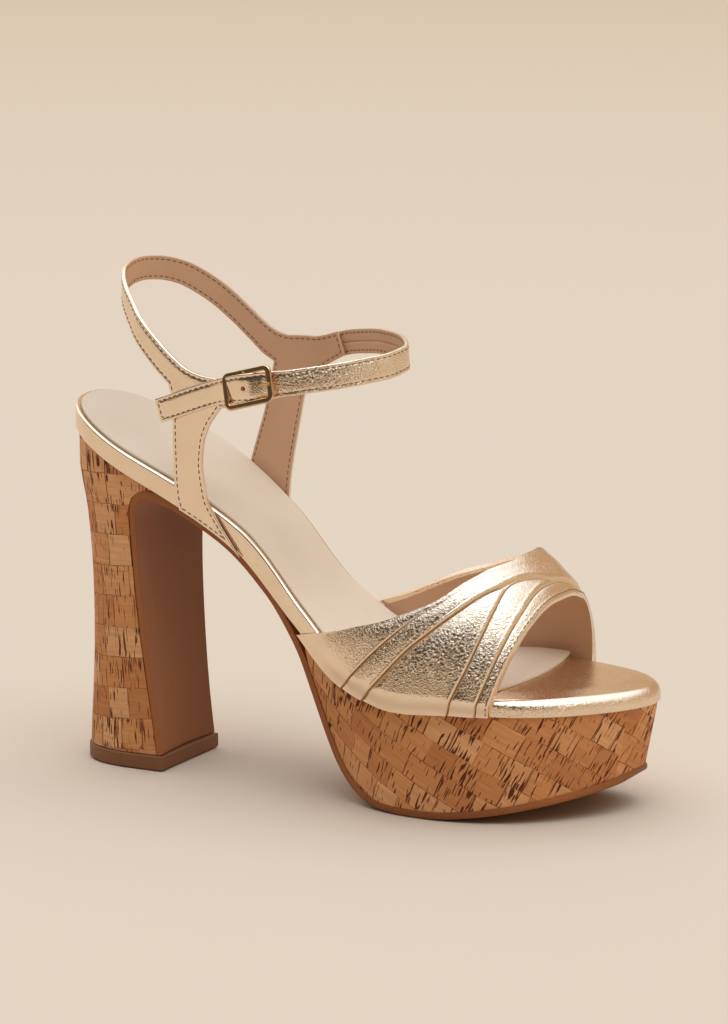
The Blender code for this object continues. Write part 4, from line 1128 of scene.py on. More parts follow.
def lining_leather(name="lining_leather", low="C79A76", high=None, rear=1.0):
    """Pigskin-like lining: matt, nearly smooth, with a faint grain and slight blotches.

    rear: how far the colour darkens towards the heel, painted shade.
    """
    material, tree, shader, place = new_material(name, Roughness=0.62)
    if tree is None:
        return material
    blotch = add_node(tree, "TexNoise", {"Scale": 60.0, "Detail": 3.0}, Vector=place)
    tone = add_node(tree, "ValToRGB", tones(low, high or colours().lining), Fac=blotch)
    # Painted shade: the colour darkens towards the heel, down to the factor rear
    parts = add_node(tree, "SeparateXYZ", {}, Vector=place)
    wear_and_shade = add_node(tree, "MapRange", {
        "From Min": -0.01, "From Max": 0.085, "To Min": rear, "To Max": 1.0,
    }, Value=parts.outputs["X"])
    rear_shaded = add_node(tree, "VectorMath", {"operation": "SCALE"}, i0=tone, Scale=wear_and_shade)
    grain = add_node(tree, "TexNoise", {"Scale": 1600.0, "Detail": 3.0}, Vector=place)
    bump = add_node(tree, "Bump", {"Strength": 0.25, "Distance": 0.0001}, Height=grain)
    link(tree, shader, Base_Color=rear_shaded, Normal=bump)
    return material


def sole_sheet(name="brown_sole_sheet", low="9C5B2F", high=None, side_shading=1.0):
    """Moulded thermoplastic sole sheet: matt brown, faint streaks from its making.

    side_shading: how far the colour darkens towards both sides, painted shade.
    """
    material, tree, shader, place = new_material(name, Roughness=0.52, Specular_IOR_Level=0.28)
    if tree is None:
        return material
    tall = add_node(tree, "Mapping", {"Scale": (1.0, 1.0, 0.06)}, Vector=place)
    streak = add_node(tree, "TexNoise", {"Scale": 240.0, "Detail": 3.0}, Vector=tall)
    tone = add_node(tree, "ValToRGB", tones(low, high or colours().sole), Fac=streak)
    # Painted shade: the colour darkens towards both sides across Y, most on the inner side
    parts = add_node(tree, "SeparateXYZ", {}, Vector=place)
    across = add_node(tree, "MapRange", {
        "From Min": -0.045, "From Max": 0.025,
    }, Value=parts.outputs["Y"])
    ramp = []
    for spot, share in ((0.0, 0.68), (0.36, 1.0), (1.0, 0.58)):
        ramp.append((spot, (*[1.0 + (share - 1.0) * side_shading] * 3, 1.0)))
    depth = add_node(tree, "ValToRGB", {"ramp": ramp}, Fac=across)
    side_shaded = add_node(tree, "VectorMath", {"operation": "MULTIPLY"}, i0=tone, i1=depth)
    grain = add_node(tree, "TexNoise", {"Scale": 1400.0, "Detail": 2.0}, Vector=place)
    bump = add_node(tree, "Bump", {"Strength": 0.2, "Distance": 0.0001}, Height=grain)
    link(tree, shader, Base_Color=side_shaded, Normal=bump)
    return material


def gold_plate():
    """Polished pale gold plate on a cast buckle: a clear mirror with faint polishing marks."""
    material, tree, shader, place = new_material("polished_gold_plate", Metallic=0.93)
    if tree is None:
        return material
    mark = add_node(tree, "TexNoise", {"Scale": 900.0, "Detail": 3.0}, Vector=place)
    rough = add_node(tree, "MapRange", {"To Min": 0.08, "To Max": 0.16}, Value=mark)
    link(tree, shader, Roughness=rough)
    shader.inputs["Base Color"].default_value = linear(colours().buckle)
    return material


def sewing_thread():
    """Twisted polyester thread: dull sheen, and painted shade in the hollows between its strands."""
    material, tree, shader, place = new_material("sewing_thread", Roughness=0.6)
    if tree is None:
        return material
    strand = add_node(tree, "TexNoise", {"Scale": 2600.0, "Detail": 2.0}, Vector=place)
    tone = add_node(tree, "ValToRGB", tones("6A4E34", colours().thread), Fac=strand)
    bump = add_node(tree, "Bump", {"Strength": 0.3, "Distance": 0.0001}, Height=strand)
    link(tree, shader, Base_Color=tone, Normal=bump)
    return material


def cork_veneer(name, turn, light=1.0, wide=1.0):
    """Sliced cork glued as a patchwork: pale rectangles with growth lines and dark bark flecks.

    turn: slant of the patches in degrees.  light: brightness.  wide: size of the patches.
    """
    material, tree, shader, _ = new_material(name, Roughness=0.66, Specular_IOR_Level=0.22)
    if tree is None:
        return material
    place = add_node(tree, "UVMap", {"uv_map": "wrap"})
    turned = add_node(tree, "Mapping", {"Rotation": (0.0, 0.0, math.radians(turn))}, Vector=place)
    wobble = add_node(tree, "TexNoise", {"Scale": 90.0, "Detail": 2.0}, Vector=place)
    centred = add_node(tree, "VectorMath", {
        "operation": "SUBTRACT", 1: (0.5, 0.5, 0.5),
    }, i0=wobble.outputs["Color"])
    small = add_node(tree, "VectorMath", {"operation": "SCALE", "Scale": 0.0012}, i0=centred)
    bent = add_node(tree, "VectorMath", {"operation": "ADD"}, i0=turned, i1=small)
    patch = sizes().patch * wide
    narrow = add_node(tree, "Mapping", {"Scale": (0.4, 1.0, 1.0)}, Vector=bent)
    brick = add_node(tree, "TexBrick", {
        "offset": 0.43, "offset_frequency": 2, "squash": 1.35, "squash_frequency": 3,
        "Color1": (0.0, 0.0, 0.0, 1.0), "Color2": (1.0, 1.0, 1.0, 1.0), "Mortar": (0.5, 0.5, 0.5, 1.0),
        "Scale": 1.0, "Mortar Size": 0.00013, "Mortar Smooth": 0.35, "Bias": 0.0,
        "Brick Width": patch * 0.42, "Row Height": patch * 0.92,
    }, Vector=narrow)
    shade = add_node(tree, "SeparateColor", {}, Color=brick)
    shift = add_node(tree, "VectorMath", {"operation": "SCALE", "Scale": 0.37}, i0=brick)
    local = add_node(tree, "VectorMath", {"operation": "ADD"}, i0=bent, i1=shift)
    # Growth lines 1.1 mm apart, and flecks 0.7 mm wide and 7 mm tall, each patch with its own
    lines = add_node(tree, "Mapping", {"Scale": (55.0, 900.0, 1.0)}, Vector=local)
    growth = add_node(tree, "TexNoise", {"Scale": 1.0, "Detail": 3.0, "Roughness": 0.55}, Vector=lines)
    upright = add_node(tree, "Mapping", {"Scale": (1350.0, 150.0, 1.0)}, Vector=local)
    streak = add_node(tree, "TexNoise", {
        "Scale": 1.0, "Detail": 0.7, "Roughness": 0.5, "Distortion": 0.35,
    }, Vector=upright)
    cluster = add_node(tree, "TexNoise", {"Scale": 120.0, "Detail": 2.0}, Vector=local)
    crowd = add_node(tree, "MapRange", {
        "From Min": 0.40, "From Max": 0.66, "To Min": -0.045, "To Max": 0.075,
    }, Value=cluster)
    lot = add_node(tree, "Math", {"operation": "MULTIPLY", 1: 7.31}, i0=shade)
    part = add_node(tree, "Math", {"operation": "FRACT"}, i0=lot)
    share = add_node(tree, "MapRange", {"To Min": -0.062, "To Max": 0.052}, Value=part)
    dense = add_node(tree, "Math", {"operation": "ADD"}, i0=crowd, i1=share)
    raised = add_node(tree, "Math", {"operation": "ADD"}, i0=streak, i1=dense)
    fleck = add_node(tree, "MapRange", {"From Min": 0.622, "From Max": 0.642}, Value=raised)
    tone = add_node(tree, "ValToRGB", tones("C37E4B", colours().cork, "E3A976"), Fac=shade)
    grained = add_node(tree, "MapRange", {
        "From Min": 0.35, "From Max": 0.7, "To Min": 0.88 * light, "To Max": 1.10 * light,
    }, Value=growth)
    lined = add_node(tree, "VectorMath", {"operation": "SCALE"}, i0=tone, Scale=grained)
    dark = add_node(tree, "Mix", {"data_type": "RGBA", 7: linear(colours().fleck)}, i0=fleck, i6=lined)
    broken = add_node(tree, "MapRange", {
        "From Min": 0.38, "From Max": 0.60, "To Min": 0.15, "To Max": 1.0,
    }, Value=cluster)
    half = add_node(tree, "Math", {"operation": "MULTIPLY"}, i0=brick.outputs["Fac"], i1=broken)
    seam = add_node(tree, "Mix", {
        "data_type": "RGBA", 7: linear("6E3519"),
    }, i0=half, i6=dark.outputs[2])
    pit = add_node(tree, "Math", {"operation": "MULTIPLY", 1: -1.0}, i0=fleck)
    relief = add_node(tree, "Math", {"operation": "MULTIPLY_ADD", 1: 0.3}, i0=growth, i2=pit)
    bump = add_node(tree, "Bump", {"Strength": 0.6, "Distance": 0.00025}, Height=relief)
    link(tree, shader, Base_Color=seam.outputs[2], Normal=bump)
    return material


# Cork, sole and footbed

def copy_of(node, name, materials, slot, angle=35.0):
    """Own copy of a CAD node's mesh, merged, that stands for the node."""
    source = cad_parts[node].data
    bm = bmesh.new()
    bm.from_mesh(source)
    bmesh.ops.remove_doubles(bm, verts=bm.verts, dist=1e-6)
    verts = [v.co.copy() for v in bm.verts]
    bm.verts.index_update()
    faces = [tuple(v.index for v in f.verts) for f in bm.faces]
    bm.free()
    return add_piece(name, verts, faces, materials, None, (node,), slot, angle)


def wrap_uv(piece):
    """UV map in metres: distance round the piece's plan, and height."""
    mesh = piece.data
    points = np.array([v.co[:] for v in mesh.vertices])
    centre = (points[:, :2].min(axis=0) + points[:, :2].max(axis=0)) / 2.0
    angles = np.arctan2(points[:, 1] - centre[1], -(points[:, 0] - centre[0]))
    reach = np.linalg.norm(points[:, :2] - centre, axis=1)
    turns = np.linspace(-math.pi, math.pi, 181)
    hull = []
    for turn in turns:
        near = np.abs((angles - turn + math.pi) % (2.0 * math.pi) - math.pi) < 0.08
        hull.append(np.max(reach[near]) if near.any() else 0.0)
    hull = np.array(hull)
    ring = np.stack([-hull * np.cos(turns), hull * np.sin(turns)], axis=1)
    lengths = chord_lengths(ring)
    layer = mesh.uv_layers.new(name="wrap")
    for face in mesh.polygons:
        around = [np.interp(angles[mesh.vertices[i].index], turns, lengths) for i in face.vertices]
        span = max(around) - min(around)
        for loop, u in zip(face.loop_indices, around):
            if span > lengths[-1] / 2.0 and u < lengths[-1] / 2.0:
                u += lengths[-1]
            layer.data[loop].uv = (u, points[mesh.loops[loop].vertex_index, 2])


def heel_front(z):
    """Station of the heel block's front face at height z."""
    rise = (np.asarray(z) - TIP_THICKNESS) / (heel_seat_height() - TIP_THICKNESS)
    share = smooth(column(HEEL, 0), column(HEEL, 2), rise)
    return HEEL_BASE_FRONT + share * (HEEL_WAIST_FRONT - HEEL_BASE_FRONT)


def heel_half_width(z):
    """Half width of the heel block at height z."""
    rise = (np.asarray(z) - TIP_THICKNESS) / (heel_seat_height() - TIP_THICKNESS)
    share = smooth(column(HEEL, 0), column(HEEL, 1), rise)
    return (HEEL_BASE_WIDTH + share * (HEEL_TOP_WIDTH - HEEL_BASE_WIDTH)) / 2.0


def heel_seat_height():
    """Height of the footbed's underside at the heel's waist."""
    return float(height_below(HEEL_WAIST_FRONT, RIM_THICKNESS + GAP))


def sole_path(count):
    """Upper face of the sole from the toe to the heel tip as x and z, and each row's zone.

    The zones are 0 under the platform, 1 on the shank and 2 down the heel's breast.
    """
    rows = [(along * INSOLE_LENGTH, height + SOLE_THICKNESS) for along, height in SOLE_LINE]
    zones = [0.0] * len(rows)
    under = RIM_THICKNESS + GAP
    shank_front = SOLE_LINE[-1][0] * INSOLE_LENGTH - 0.010
    shank_x = np.linspace(shank_front, HEEL_WAIST_FRONT + COVE_ON_SHANK * 0.9, 7)
    rows += list(zip(shank_x, height_below(shank_x, under)))
    zones += [1.0] * 7
    corner = np.array([HEEL_WAIST_FRONT, heel_seat_height()])
    low = corner[1] - COVE_ON_BREAST
    leave = np.array(rows[-1])
    arrive = np.array([float(heel_front(low)), low])
    for t in np.linspace(0.0, 1.0, 13)[1:]:
        rows.append(tuple((1 - t) ** 2 * leave + 2 * t * (1 - t) * corner + t ** 2 * arrive))
        zones.append(1.0 + t)
    for z in np.linspace(low, TIP_THICKNESS + GAP, 8)[1:]:
        rows.append((float(heel_front(z)), z))
        zones.append(2.0)
    line, share = open_curve(rows, count)
    keys = chord_lengths(np.array(rows))
    soft = line.copy()
    for _ in range(60):
        soft[1:-1] = (soft[:-2] + soft[1:-1] * 2.0 + soft[2:]) / 4.0
    return soft, np.interp(share, keys / keys[-1], zones)


def sole_sheet_mesh():
    """The sole from the toe over the shank and down the heel's front, with softened side edges."""
    count = SOLE_ROWS
    line, zone = sole_path(count)
    ahead = np.gradient(line, axis=0)
    ahead /= np.linalg.norm(ahead, axis=1)[:, None]
    down = np.stack([-ahead[:, 1], ahead[:, 0]], axis=1)
    toe_x = outline_sides(SOLE_INSET)[0][-1, 0]
    front = np.clip(1.0 - np.arange(count) / 90.0, 0.0, 1.0)
    line[:, 0] += (toe_x - line[0, 0]) * front
    thick = SOLE_THICKNESS + (BREAST_THICKNESS - SOLE_THICKNESS) * ease(1.0, 2.0, zone)
    thick = thick * (0.35 + 0.65 * ease(0.0, 0.004, toe_x - line[:, 0]))
    inset = SOLE_INSET + (SHANK_INSET - SOLE_INSET) * ease(0.0, 1.0, zone)
    breast = ease(1.0, 2.0, zone)
    near_edge = np.array([0.9, 0.94, 0.965, 0.985, 1.0])
    sides = np.concatenate([-near_edge[::-1], np.linspace(-0.8, 0.8, 15), near_edge])
    upper = np.zeros((count, len(sides), 3))
    lower = np.zeros((count, len(sides), 3))
    for i in range(count):
        low_y, high_y = side_at(inset[i], line[i, 0])
        half = float(heel_half_width(line[i, 1])) - 0.0003
        low_y = low_y * (1.0 - breast[i]) - half * breast[i]
        high_y = high_y * (1.0 - breast[i]) + half * breast[i]
        y = low_y + (high_y - low_y) * (sides + 1.0) / 2.0
        back = BREAST_HOLLOW * (1.0 - sides ** 2) * breast[i]
        edge = np.minimum(y - low_y, high_y - y)
        depth = thick[i] - round_off(edge, min(0.0009, thick[i] * 0.5))
        upper[i] = np.stack([line[i, 0] - back - STATION_ZERO, y, line[i, 1] + 0.0 * y], axis=1)
        lower[i] = upper[i]
        lower[i, :, 0] += down[i, 0] * depth
        lower[i, :, 2] += down[i, 1] * depth
        bend = math.sin(math.pi * min(1.0, max(0.0, zone[i] - 1.0)))
        sink = 0.0005 * ease(0.9, 1.3, zone[i]) + 0.0009 * bend
        upper[i, :, 0] -= down[i, 0] * sink
        upper[i, :, 2] -= down[i, 1] * sink
    lower[:, :, 2] -= min(0.0, float(lower[:, :, 2].min()))
    return merged(*closed_sheet(upper, lower))


def merged(verts, faces):
    """The same mesh with its doubled points joined and its faces turned outwards."""
    bm = bmesh.new()
    points = [bm.verts.new(v) for v in verts]
    for face in faces:
        bm.faces.new([points[i] for i in face])
    bmesh.ops.remove_doubles(bm, verts=bm.verts, dist=1e-6)
    bmesh.ops.recalc_face_normals(bm, faces=bm.faces)
    bm.verts.index_update()
    verts = [v.co.copy() for v in bm.verts]
    faces = [tuple(v.index for v in f.verts) for f in bm.faces]
    bm.free()
    return verts, faces


def platform_mesh():
    """Cork wedge between the footbed and the sole, in level layers."""
    line, zone = sole_path(900)
    line = line[zone < 0.6]
    order = np.argsort(line[:, 0])
    start = SOLE_LINE[-1][0] * INSOLE_LENGTH + 0.0006
    count = PLATFORM_COLUMNS
    verts = []
    for share in np.linspace(0.0, 1.0, PLATFORM_LAYERS):
        outer, inner = outline_sides(PLATFORM_TOP_INSET + PLATFORM_TAPER * share ** 1.15)
        x = start + (outer[-1, 0] - start) * np.sin(np.linspace(0.0, math.pi / 2.0, count))
        top = height_below(x, RIM_THICKNESS + 0.0001)
        bottom = np.minimum(np.interp(x, line[order, 0], line[order, 1]) + 0.0001, top - 0.0001)
        z = top + (bottom - top) * share
        for side in (outer, inner):
            y = np.interp(x, side[:, 0], side[:, 1])
            y[-1] = outer[-1, 1]
            verts += list(np.stack([x - STATION_ZERO, y, z], axis=1))
    faces = []
    for layer in range(PLATFORM_LAYERS - 1):
        for side in (0, 1):
            a = (layer * 2 + side) * count
            b = a + 2 * count
            faces += [(a + k, a + k + 1, b + k + 1, b + k) for k in range(count - 1)]
        a = layer * 2 * count
        faces.append((a, a + count, a + 3 * count, a + 2 * count))
    for a in (0, (PLATFORM_LAYERS - 1) * 2 * count):
        faces += [(a + k, a + k + 1, a + count + k + 1, a + count + k) for k in range(count - 1)]
    return merged(verts, faces)


class SANDAL_OT_cork(bpy.types.Operator):
    """Cork veneer round the platform and the heel block"""

    bl_idname = "sandal.cork"
    bl_label = "Cork"

    def execute(self, context):
        verts, faces = platform_mesh()
        platform = add_piece(
            "platform_veneer", verts, faces, [cork_veneer("cork_on_platform", -28.0)], None,
            ("platform",), "cork", 40.0,
        )
        wrap_uv(platform)
        heel = copy_of("heel", "heel_veneer", [cork_veneer("cork_on_heel", 3.0, 0.95, 1.25)], "cork")
        wrap_uv(heel)
        return {"FINISHED"}


class SANDAL_OT_sole(bpy.types.Operator):
    """Brown sole sheet and the heel's top piece"""

    bl_idname = "sandal.sole"
    bl_label = "Sole"

    def execute(self, context):
        verts, faces = sole_sheet_mesh()
        add_piece("sole_sheet", verts, faces, [sole_sheet()], None, ("outsole",), "sole", 50.0)
        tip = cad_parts["heel_tip"]
        tip.data.materials.clear()
        tip.data.materials.append(sole_sheet("heel_tip_rubber", "7A4E30", "885A38", 0.25))
        return {"FINISHED"}


def footbed_shell():
    """Wrapped footbed: rings from its middle line over the rolled rim, down the side and back.

    A ring is how far it lies in from the outline, how far under the top, and its share of the
    way from there to the middle line.
    """
    count = len(OUTLINE)
    inward = inward_ways()
    mid_x = np.clip(OUTLINE[:, 0], 0.030, 0.182)
    low, high = side_at(0.0, mid_x)
    middle = np.stack([mid_x, (low + high) / 2.0], axis=1)
    roll = RIM_ROLL + TOE_ROLL * ease(0.160, 0.198, OUTLINE[:, 0])
    drop = TOE_DROP * ease(0.155, 0.180, OUTLINE[:, 0])
    rings = [(0.0110, 0.0, share) for share in (1.0, 0.85, 0.7, 0.55, 0.4, 0.25, 0.1, 0.0)]
    flat = 0.0100
    rings += [(flat + (roll + 0.0004 - flat) * step, 0.0, 0.0) for step in np.linspace(0.0, 1.0, 9)]
    # From this ring on, the roll, side and underside take the plain foil; the top plane takes a darker
    # copy, painted shade
    first_bright = (len(rings) - 1) * count
    fall = 0.8 + 0.6 * ease(0.140, 0.170, OUTLINE[:, 0])
    for turn in np.linspace(math.pi / 2.0, 0.0, 15):
        over = roll * (1.0 - math.cos(turn))
        rings.append((over, roll * fall * (1.0 - math.sin(turn)), 0.0))
    rings += [(0.0, 0.0052, 0.0), (0.0, 0.0060, 0.0), (0.0, RIM_THICKNESS - 0.0005, 0.0)]
    rings += [(0.0002, RIM_THICKNESS - 0.0001, 0.0), (0.0007, RIM_THICKNESS, 0.0)]
    rings += [(0.0095, RIM_THICKNESS, share) for share in (0.0, 0.3, 0.65, 1.0)]
    verts = []
    for inset, depth, share in rings:
        inset = np.broadcast_to(inset, count)
        plan = OUTLINE + inward * inset[:, None]
        plan = plan + (middle - plan) * share
        edge = np.clip(1.0 - inset / 0.0105, 0.0, 1.0)
        top = height_below(plan[:, 0], 0.0) - drop * edge ** 1.2 * (1.0 - share)
        under = height_below(plan[:, 0], RIM_THICKNESS)
        height = top + (under - top) * depth / RIM_THICKNESS
        verts += list(np.stack([plan[:, 0] - STATION_ZERO, plan[:, 1], height], axis=1))
    faces = []
    for a in range(0, (len(rings) - 1) * count, count):
        for i in range(count):
            j = (i + 1) % count
            faces.append((a + i, a + count + i, a + count + j, a + j))
    return verts, faces, [int(face[0] >= first_bright) for face in faces]


class SANDAL_OT_footbed(bpy.types.Operator):
    """Foil covered footbed and its lining sock"""

    bl_idname = "sandal.footbed"
    bl_label = "Footbed"

    def execute(self, context):
        verts, faces, marks = footbed_shell()
        # The top plane's foil is a darker copy, painted shade, with more roughness where feet rub; the
        # roll and side keep the plain foil
        rubbed_and_shaded_foil = foil_leather("footbed_top_foil_painted_shade", "D8B78E", "E5C9A5", 0.13)
        cover = add_piece(
            "footbed_cover", verts, faces, [rubbed_and_shaded_foil, foil_leather()],
            marks, ("insole",), "gold_leather", 60.0,
        )
        verts = np.array([v.co[:] for v in cover.data.vertices])
        deep = height_below(verts[:, 0] + STATION_ZERO, 0.0) - verts[:, 2]
        set_crinkle(cover, ease(0.135, 0.160, verts[:, 0]) * (0.16 + 0.60 * ease(0.0016, 0.0026, deep)))
        outer, inner = outline_sides(SOCK_INSET)
        back = outer[0, 0]
        rows = SOCK_ROWS
        sides = np.sin(np.linspace(-math.pi / 2.0, math.pi / 2.0, 41))
        top = np.zeros((rows, len(sides), 3))
        for r, share in enumerate(0.5 - 0.5 * np.cos(np.linspace(0.0, math.pi, rows))):
            x = back + (SOCK_LENGTH - back) * share - SOCK_CORNER_DROP * sides ** 2 * share ** 3
            low = np.interp(x, outer[:, 0], outer[:, 1])
            high = np.interp(x, inner[:, 0], inner[:, 1])
            y = low + (high - low) * (sides + 1.0) / 2.0
            top[r] = np.stack([x - STATION_ZERO, y, height_below(x, 0.0)], axis=1)
        border = border_loop(rows, len(sides))
        flat = top.reshape(-1, 3)
        near = KDTree(len(border))
        for i, index in enumerate(border):
            near.insert(Vector(flat[index]), i)
        near.balance()
        depth = np.array([near.find(Vector(p))[2] for p in flat])
        lift = 0.00115 - round_off(depth, 0.0007) + 0.00025 * ease(0.0007, 0.006, depth)
        upper = top + np.stack([0.0 * lift, 0.0 * lift, lift], axis=1).reshape(top.shape)
        # 0.84 darkens the sock towards the heel, painted shade
        leather = lining_leather("sock_leather", "DBC2A5", colours().sock, 0.84)
        add_piece(
            "lining_sock", *closed_sheet(top + np.array([0.0, 0.0, 0.0001]), upper), [leather],
            None, ("sock",), "lining", 60.0,
        )
        return {"FINISHED"}


def make_rod(points, kind):
    """A round rod along points, straight between them as POLY and bent as NURBS."""
    curve = bpy.data.curves.new("rod", "CURVE")
    curve.dimensions = "3D"
    curve.bevel_depth = ROD_RADIUS
    curve.bevel_resolution = 4
    curve.use_fill_caps = True
    spline = curve.splines.new(kind)
    spline.points.add(len(points) - 1)
    for point, spot in zip(spline.points, points):
        point.co = (*spot, 1.0)
    spline.use_endpoint_u = True
    spline.order_u = 3
    rod = bpy.data.objects.new("rod", curve)
    bpy.context.collection.objects.link(rod)
    pick(rod)
    bpy.ops.object.convert(target="MESH")
    return bpy.context.object


class SANDAL_OT_buckle(bpy.types.Operator):
    """Polished buckle frame, its bar and its prong"""

    bl_idname = "sandal.buckle"
    bl_label = "Buckle"

    def execute(self, context):
        place = buckle_axes()
        bpy.ops.object.select_all(action="DESELECT")
        bpy.ops.mesh.primitive_plane_add(size=1.0)
        ring = context.object
        ring.name = "gold_buckle"
        bpy.ops.object.mode_set(mode="EDIT")
        bpy.ops.mesh.select_all(action="SELECT")
        bpy.ops.transform.resize(value=(BUCKLE_LENGTH, BUCKLE_WIDTH, 1.0))
        bpy.ops.mesh.bevel(offset=BUCKLE_CORNER, segments=7, affect="VERTICES")
        bpy.ops.mesh.inset(thickness=BUCKLE_RIM)
        bpy.ops.mesh.delete(type="FACE")
        bpy.ops.mesh.select_all(action="SELECT")
        bpy.ops.mesh.extrude_region_move(TRANSFORM_OT_translate={"value": (0.0, 0.0, BUCKLE_DEPTH)})
        bpy.ops.mesh.select_all(action="SELECT")
        bpy.ops.mesh.normals_make_consistent(inside=False)
        bpy.ops.object.mode_set(mode="OBJECT")
        bevel = ring.modifiers.new("soft edges", "BEVEL")
        bevel.width = BUCKLE_SOFTNESS
        bevel.segments = 4
        bevel.limit_method = "ANGLE"
        bevel.angle_limit = math.radians(40.0)
        bpy.ops.object.modifier_apply(modifier=bevel.name)
        for vertex in ring.data.vertices:
            bow = 0.0005 * (vertex.co.x / BUCKLE_LENGTH * 2.0) ** 2
            vertex.co.z += BUCKLE_LIFT - bow - vertex.co.y * BUCKLE_TILT
        bar = ((-0.0006, 0.0057, 0.0046), (-0.0003, 0.0, 0.0026), (-0.0006, -0.0057, 0.0046))
        prong = (
            (0.0004, 0.0, 0.0027), (0.0042, 0.0, 0.0028), (0.0052, 0.0, 0.0050),
            (0.0066, 0.0, 0.00625), (0.0094, 0.0, 0.00645),
        )
        parts = (
            ("gold_buckle", ring, ("buckle_frame",)),
            ("buckle_bar", make_rod(bar, "POLY"), ()),
            ("gold_prong", make_rod(prong, "NURBS"), ("buckle_prong",)),
        )
        for name, piece, replaced in parts:
            piece.name = name
            piece.data.transform(place)
            piece.data.materials.clear()
            piece.data.materials.append(gold_plate())
            place_piece(piece, replaced, 50.0)
        return {"FINISHED"}


# Studio

# Parts of the room that the foil mirrors.  none, full: where on its axis a part begins and is whole
ROOM = (
    # part, axis, none, full
    ("front", "Y", 0.15, -0.35),
    ("below_top", "Z", 0.70, 0.50),
    ("above_floor", "Z", -0.02, 0.05),
    ("not_right", "X", 0.84, 0.62),
    ("top", "Z", 0.45, 0.78),
    ("left", "X", -0.2, -0.6),
)
# Light of those parts, in scene values
WALL_LIGHT = (0.56, 0.385, 0.235, 1.0)
LEFT_LIGHT = (0.98, 0.80, 0.64, 1.0)
RIGHT_LIGHT = (0.66, 0.56, 0.44, 1.0)
TOP_LIGHT = (1.40, 1.55, 1.76, 1.0)
FRONT_LIGHT = (0.064, 0.052, 0.037, 1.0)
SUN_STRENGTH = 0.62
SUN_ANGLE = 38.0
SUN_COLOUR = (0.84, 0.95, 1.08)
SUN_WAY = (-0.22, 0.24, -0.95)
# The photo's view, in degrees, metres and millimetres of lens
VIEW_TURN = 27.0
VIEW_RISE = 10.5
VIEW_CENTRE = (0.0898, 0.0, 0.0971)
VIEW_DISTANCE = 1.289
VIEW_LENS = 129.8


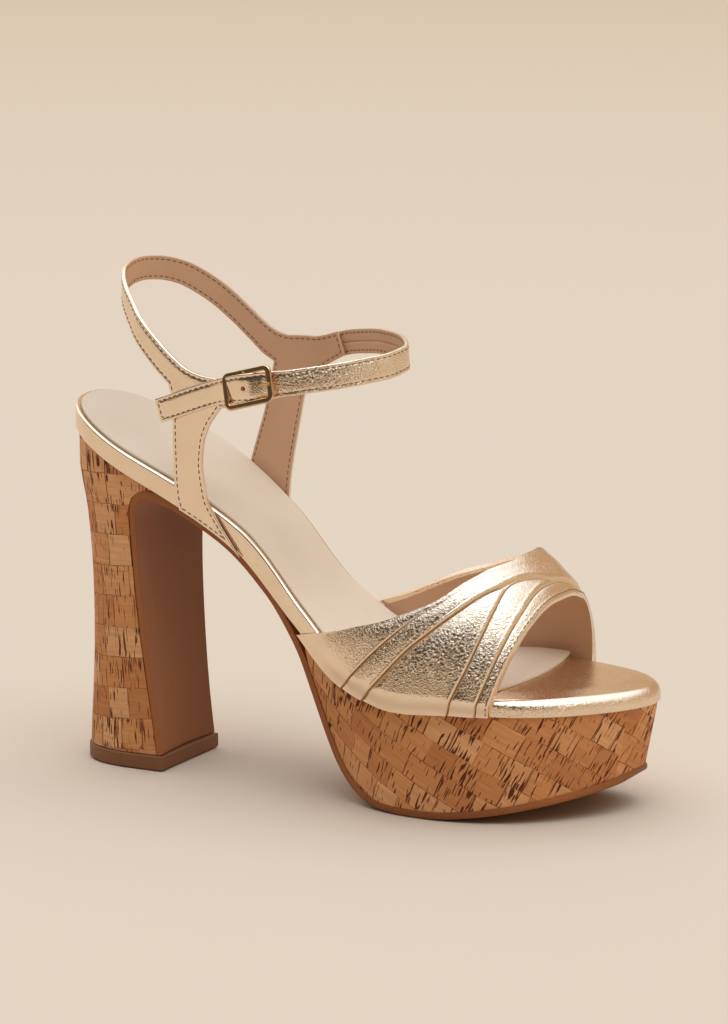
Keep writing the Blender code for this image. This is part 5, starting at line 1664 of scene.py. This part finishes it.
class SANDAL_OT_studio(bpy.types.Operator):
    """Pale floor, soft room and sun, and the camera"""

    bl_idname = "sandal.studio"
    bl_label = "Studio"

    def execute(self, context):
        scene = context.scene
        bpy.ops.object.select_all(action="DESELECT")
        bpy.ops.mesh.primitive_circle_add(
            vertices=96, radius=14.0, fill_type="NGON", location=(0.0, 0.0, -0.0002),
        )
        floor = context.object
        floor.name = "studio_floor"
        material, tree, shader, place = new_material(
            "studio_floor", Roughness=0.9, Specular_IOR_Level=0.15,
        )
        reach = add_node(tree, "VectorMath", {"operation": "LENGTH"}, i0=place)
        # Painted shade: the floor's colour darkens from 0.8 m to 6.5 m out, for light that falls off
        # away from the sandal
        far = add_node(tree, "MapRange", {
            "From Min": 0.8, "From Max": 6.5,
        }, Value=reach.outputs["Value"])
        tone = add_node(tree, "ValToRGB", tones(colours().floor, "C8B092"), Fac=far)
        link(tree, shader, Base_Color=tone)
        floor.data.materials.append(material)
        world = bpy.data.worlds.new("studio")
        scene.world = world
        world.use_nodes = True
        sky = world.node_tree
        way = add_node(sky, "TexCoord").outputs["Generated"]
        parts = add_node(sky, "SeparateXYZ", {}, Vector=way)
        room = {
            part: add_node(sky, "MapRange", {
                "interpolation_type": "SMOOTHSTEP", "From Min": none, "From Max": full,
            }, Value=parts.outputs[axis])
            for part, axis, none, full in ROOM
        }
        shaded = room["front"]
        for part in ("below_top", "not_right", "above_floor"):
            shaded = add_node(sky, "Math", {"operation": "MULTIPLY"}, i0=shaded, i1=room[part])
        around = add_node(sky, "Mix", {
            "data_type": "RGBA", 6: WALL_LIGHT, 7: LEFT_LIGHT,
        }, i0=room["left"]).outputs[2]
        sided = add_node(sky, "Mix", {
            "data_type": "RGBA", 6: RIGHT_LIGHT,
        }, i0=room["not_right"], i7=around).outputs[2]
        topped = add_node(sky, "Mix", {
            "data_type": "RGBA", 7: TOP_LIGHT,
        }, i0=room["top"], i6=sided).outputs[2]
        whole = add_node(sky, "Mix", {
            "data_type": "RGBA", 7: FRONT_LIGHT,
        }, i0=shaded, i6=topped).outputs[2]
        link(sky, sky.nodes["Background"], Color=whole)
        sky.nodes["Background"].inputs["Strength"].default_value = 1.0
        sun = bpy.data.lights.new("key", "SUN")
        sun.energy = SUN_STRENGTH
        sun.angle = math.radians(SUN_ANGLE)
        sun.color = SUN_COLOUR
        key = bpy.data.objects.new("key", sun)
        context.collection.objects.link(key)
        key.rotation_euler = Vector(SUN_WAY).to_track_quat("-Z", "Y").to_euler()
        turn = math.radians(VIEW_TURN)
        rise = math.radians(VIEW_RISE)
        away = Vector((
            math.sin(turn) * math.cos(rise), -math.cos(turn) * math.cos(rise), math.sin(rise),
        ))
        camera = bpy.data.objects.new("camera", bpy.data.cameras.new("camera"))
        context.collection.objects.link(camera)
        camera.data.lens = VIEW_LENS
        camera.data.sensor_width = 36.0
        camera.data.clip_start = 0.05
        camera.data.clip_end = 60.0
        camera.location = Vector(VIEW_CENTRE) + away * VIEW_DISTANCE
        camera.rotation_euler = (-away).to_track_quat("-Z", "Y").to_euler()
        scene.camera = camera
        scene.view_settings.view_transform = "Standard"
        return {"FINISHED"}


class SANDAL_PT_panel(bpy.types.Panel):
    """Lists the sandal's sizes, colours and operators"""

    bl_idname = "SANDAL_PT_panel"
    bl_label = "Sandal"
    bl_space_type = "VIEW_3D"
    bl_region_type = "UI"
    bl_category = "Sandal"

    def draw(self, context):
        for group in (context.scene.sandal_sizes, context.scene.sandal_colours):
            box = self.layout.box()
            for key in group.__annotations__:
                box.prop(group, key)
        for operator in OPERATORS:
            self.layout.operator(operator.bl_idname)


OPERATORS = (
    SANDAL_OT_footbed,
    SANDAL_OT_sole,
    SANDAL_OT_cork,
    SANDAL_OT_toe_bands,
    SANDAL_OT_heel_strap,
    SANDAL_OT_ankle_band,
    SANDAL_OT_buckle,
    SANDAL_OT_studio,
)
CLASSES = (SandalSizes, SandalColours, *OPERATORS, SANDAL_PT_panel)


def register():
    """Register the classes and their properties."""
    for cls in CLASSES:
        bpy.utils.register_class(cls)
    bpy.types.Scene.sandal_sizes = bpy.props.PointerProperty(type=SandalSizes)
    bpy.types.Scene.sandal_colours = bpy.props.PointerProperty(type=SandalColours)


def unregister():
    """Take the classes and properties away again."""
    del bpy.types.Scene.sandal_sizes
    del bpy.types.Scene.sandal_colours
    for cls in reversed(CLASSES):
        bpy.utils.unregister_class(cls)


def main():
    """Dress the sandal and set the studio."""
    register()
    for operator in OPERATORS:
        group, name = operator.bl_idname.split(".")
        getattr(getattr(bpy.ops, group), name)()


if __name__ == "__main__":
    main()
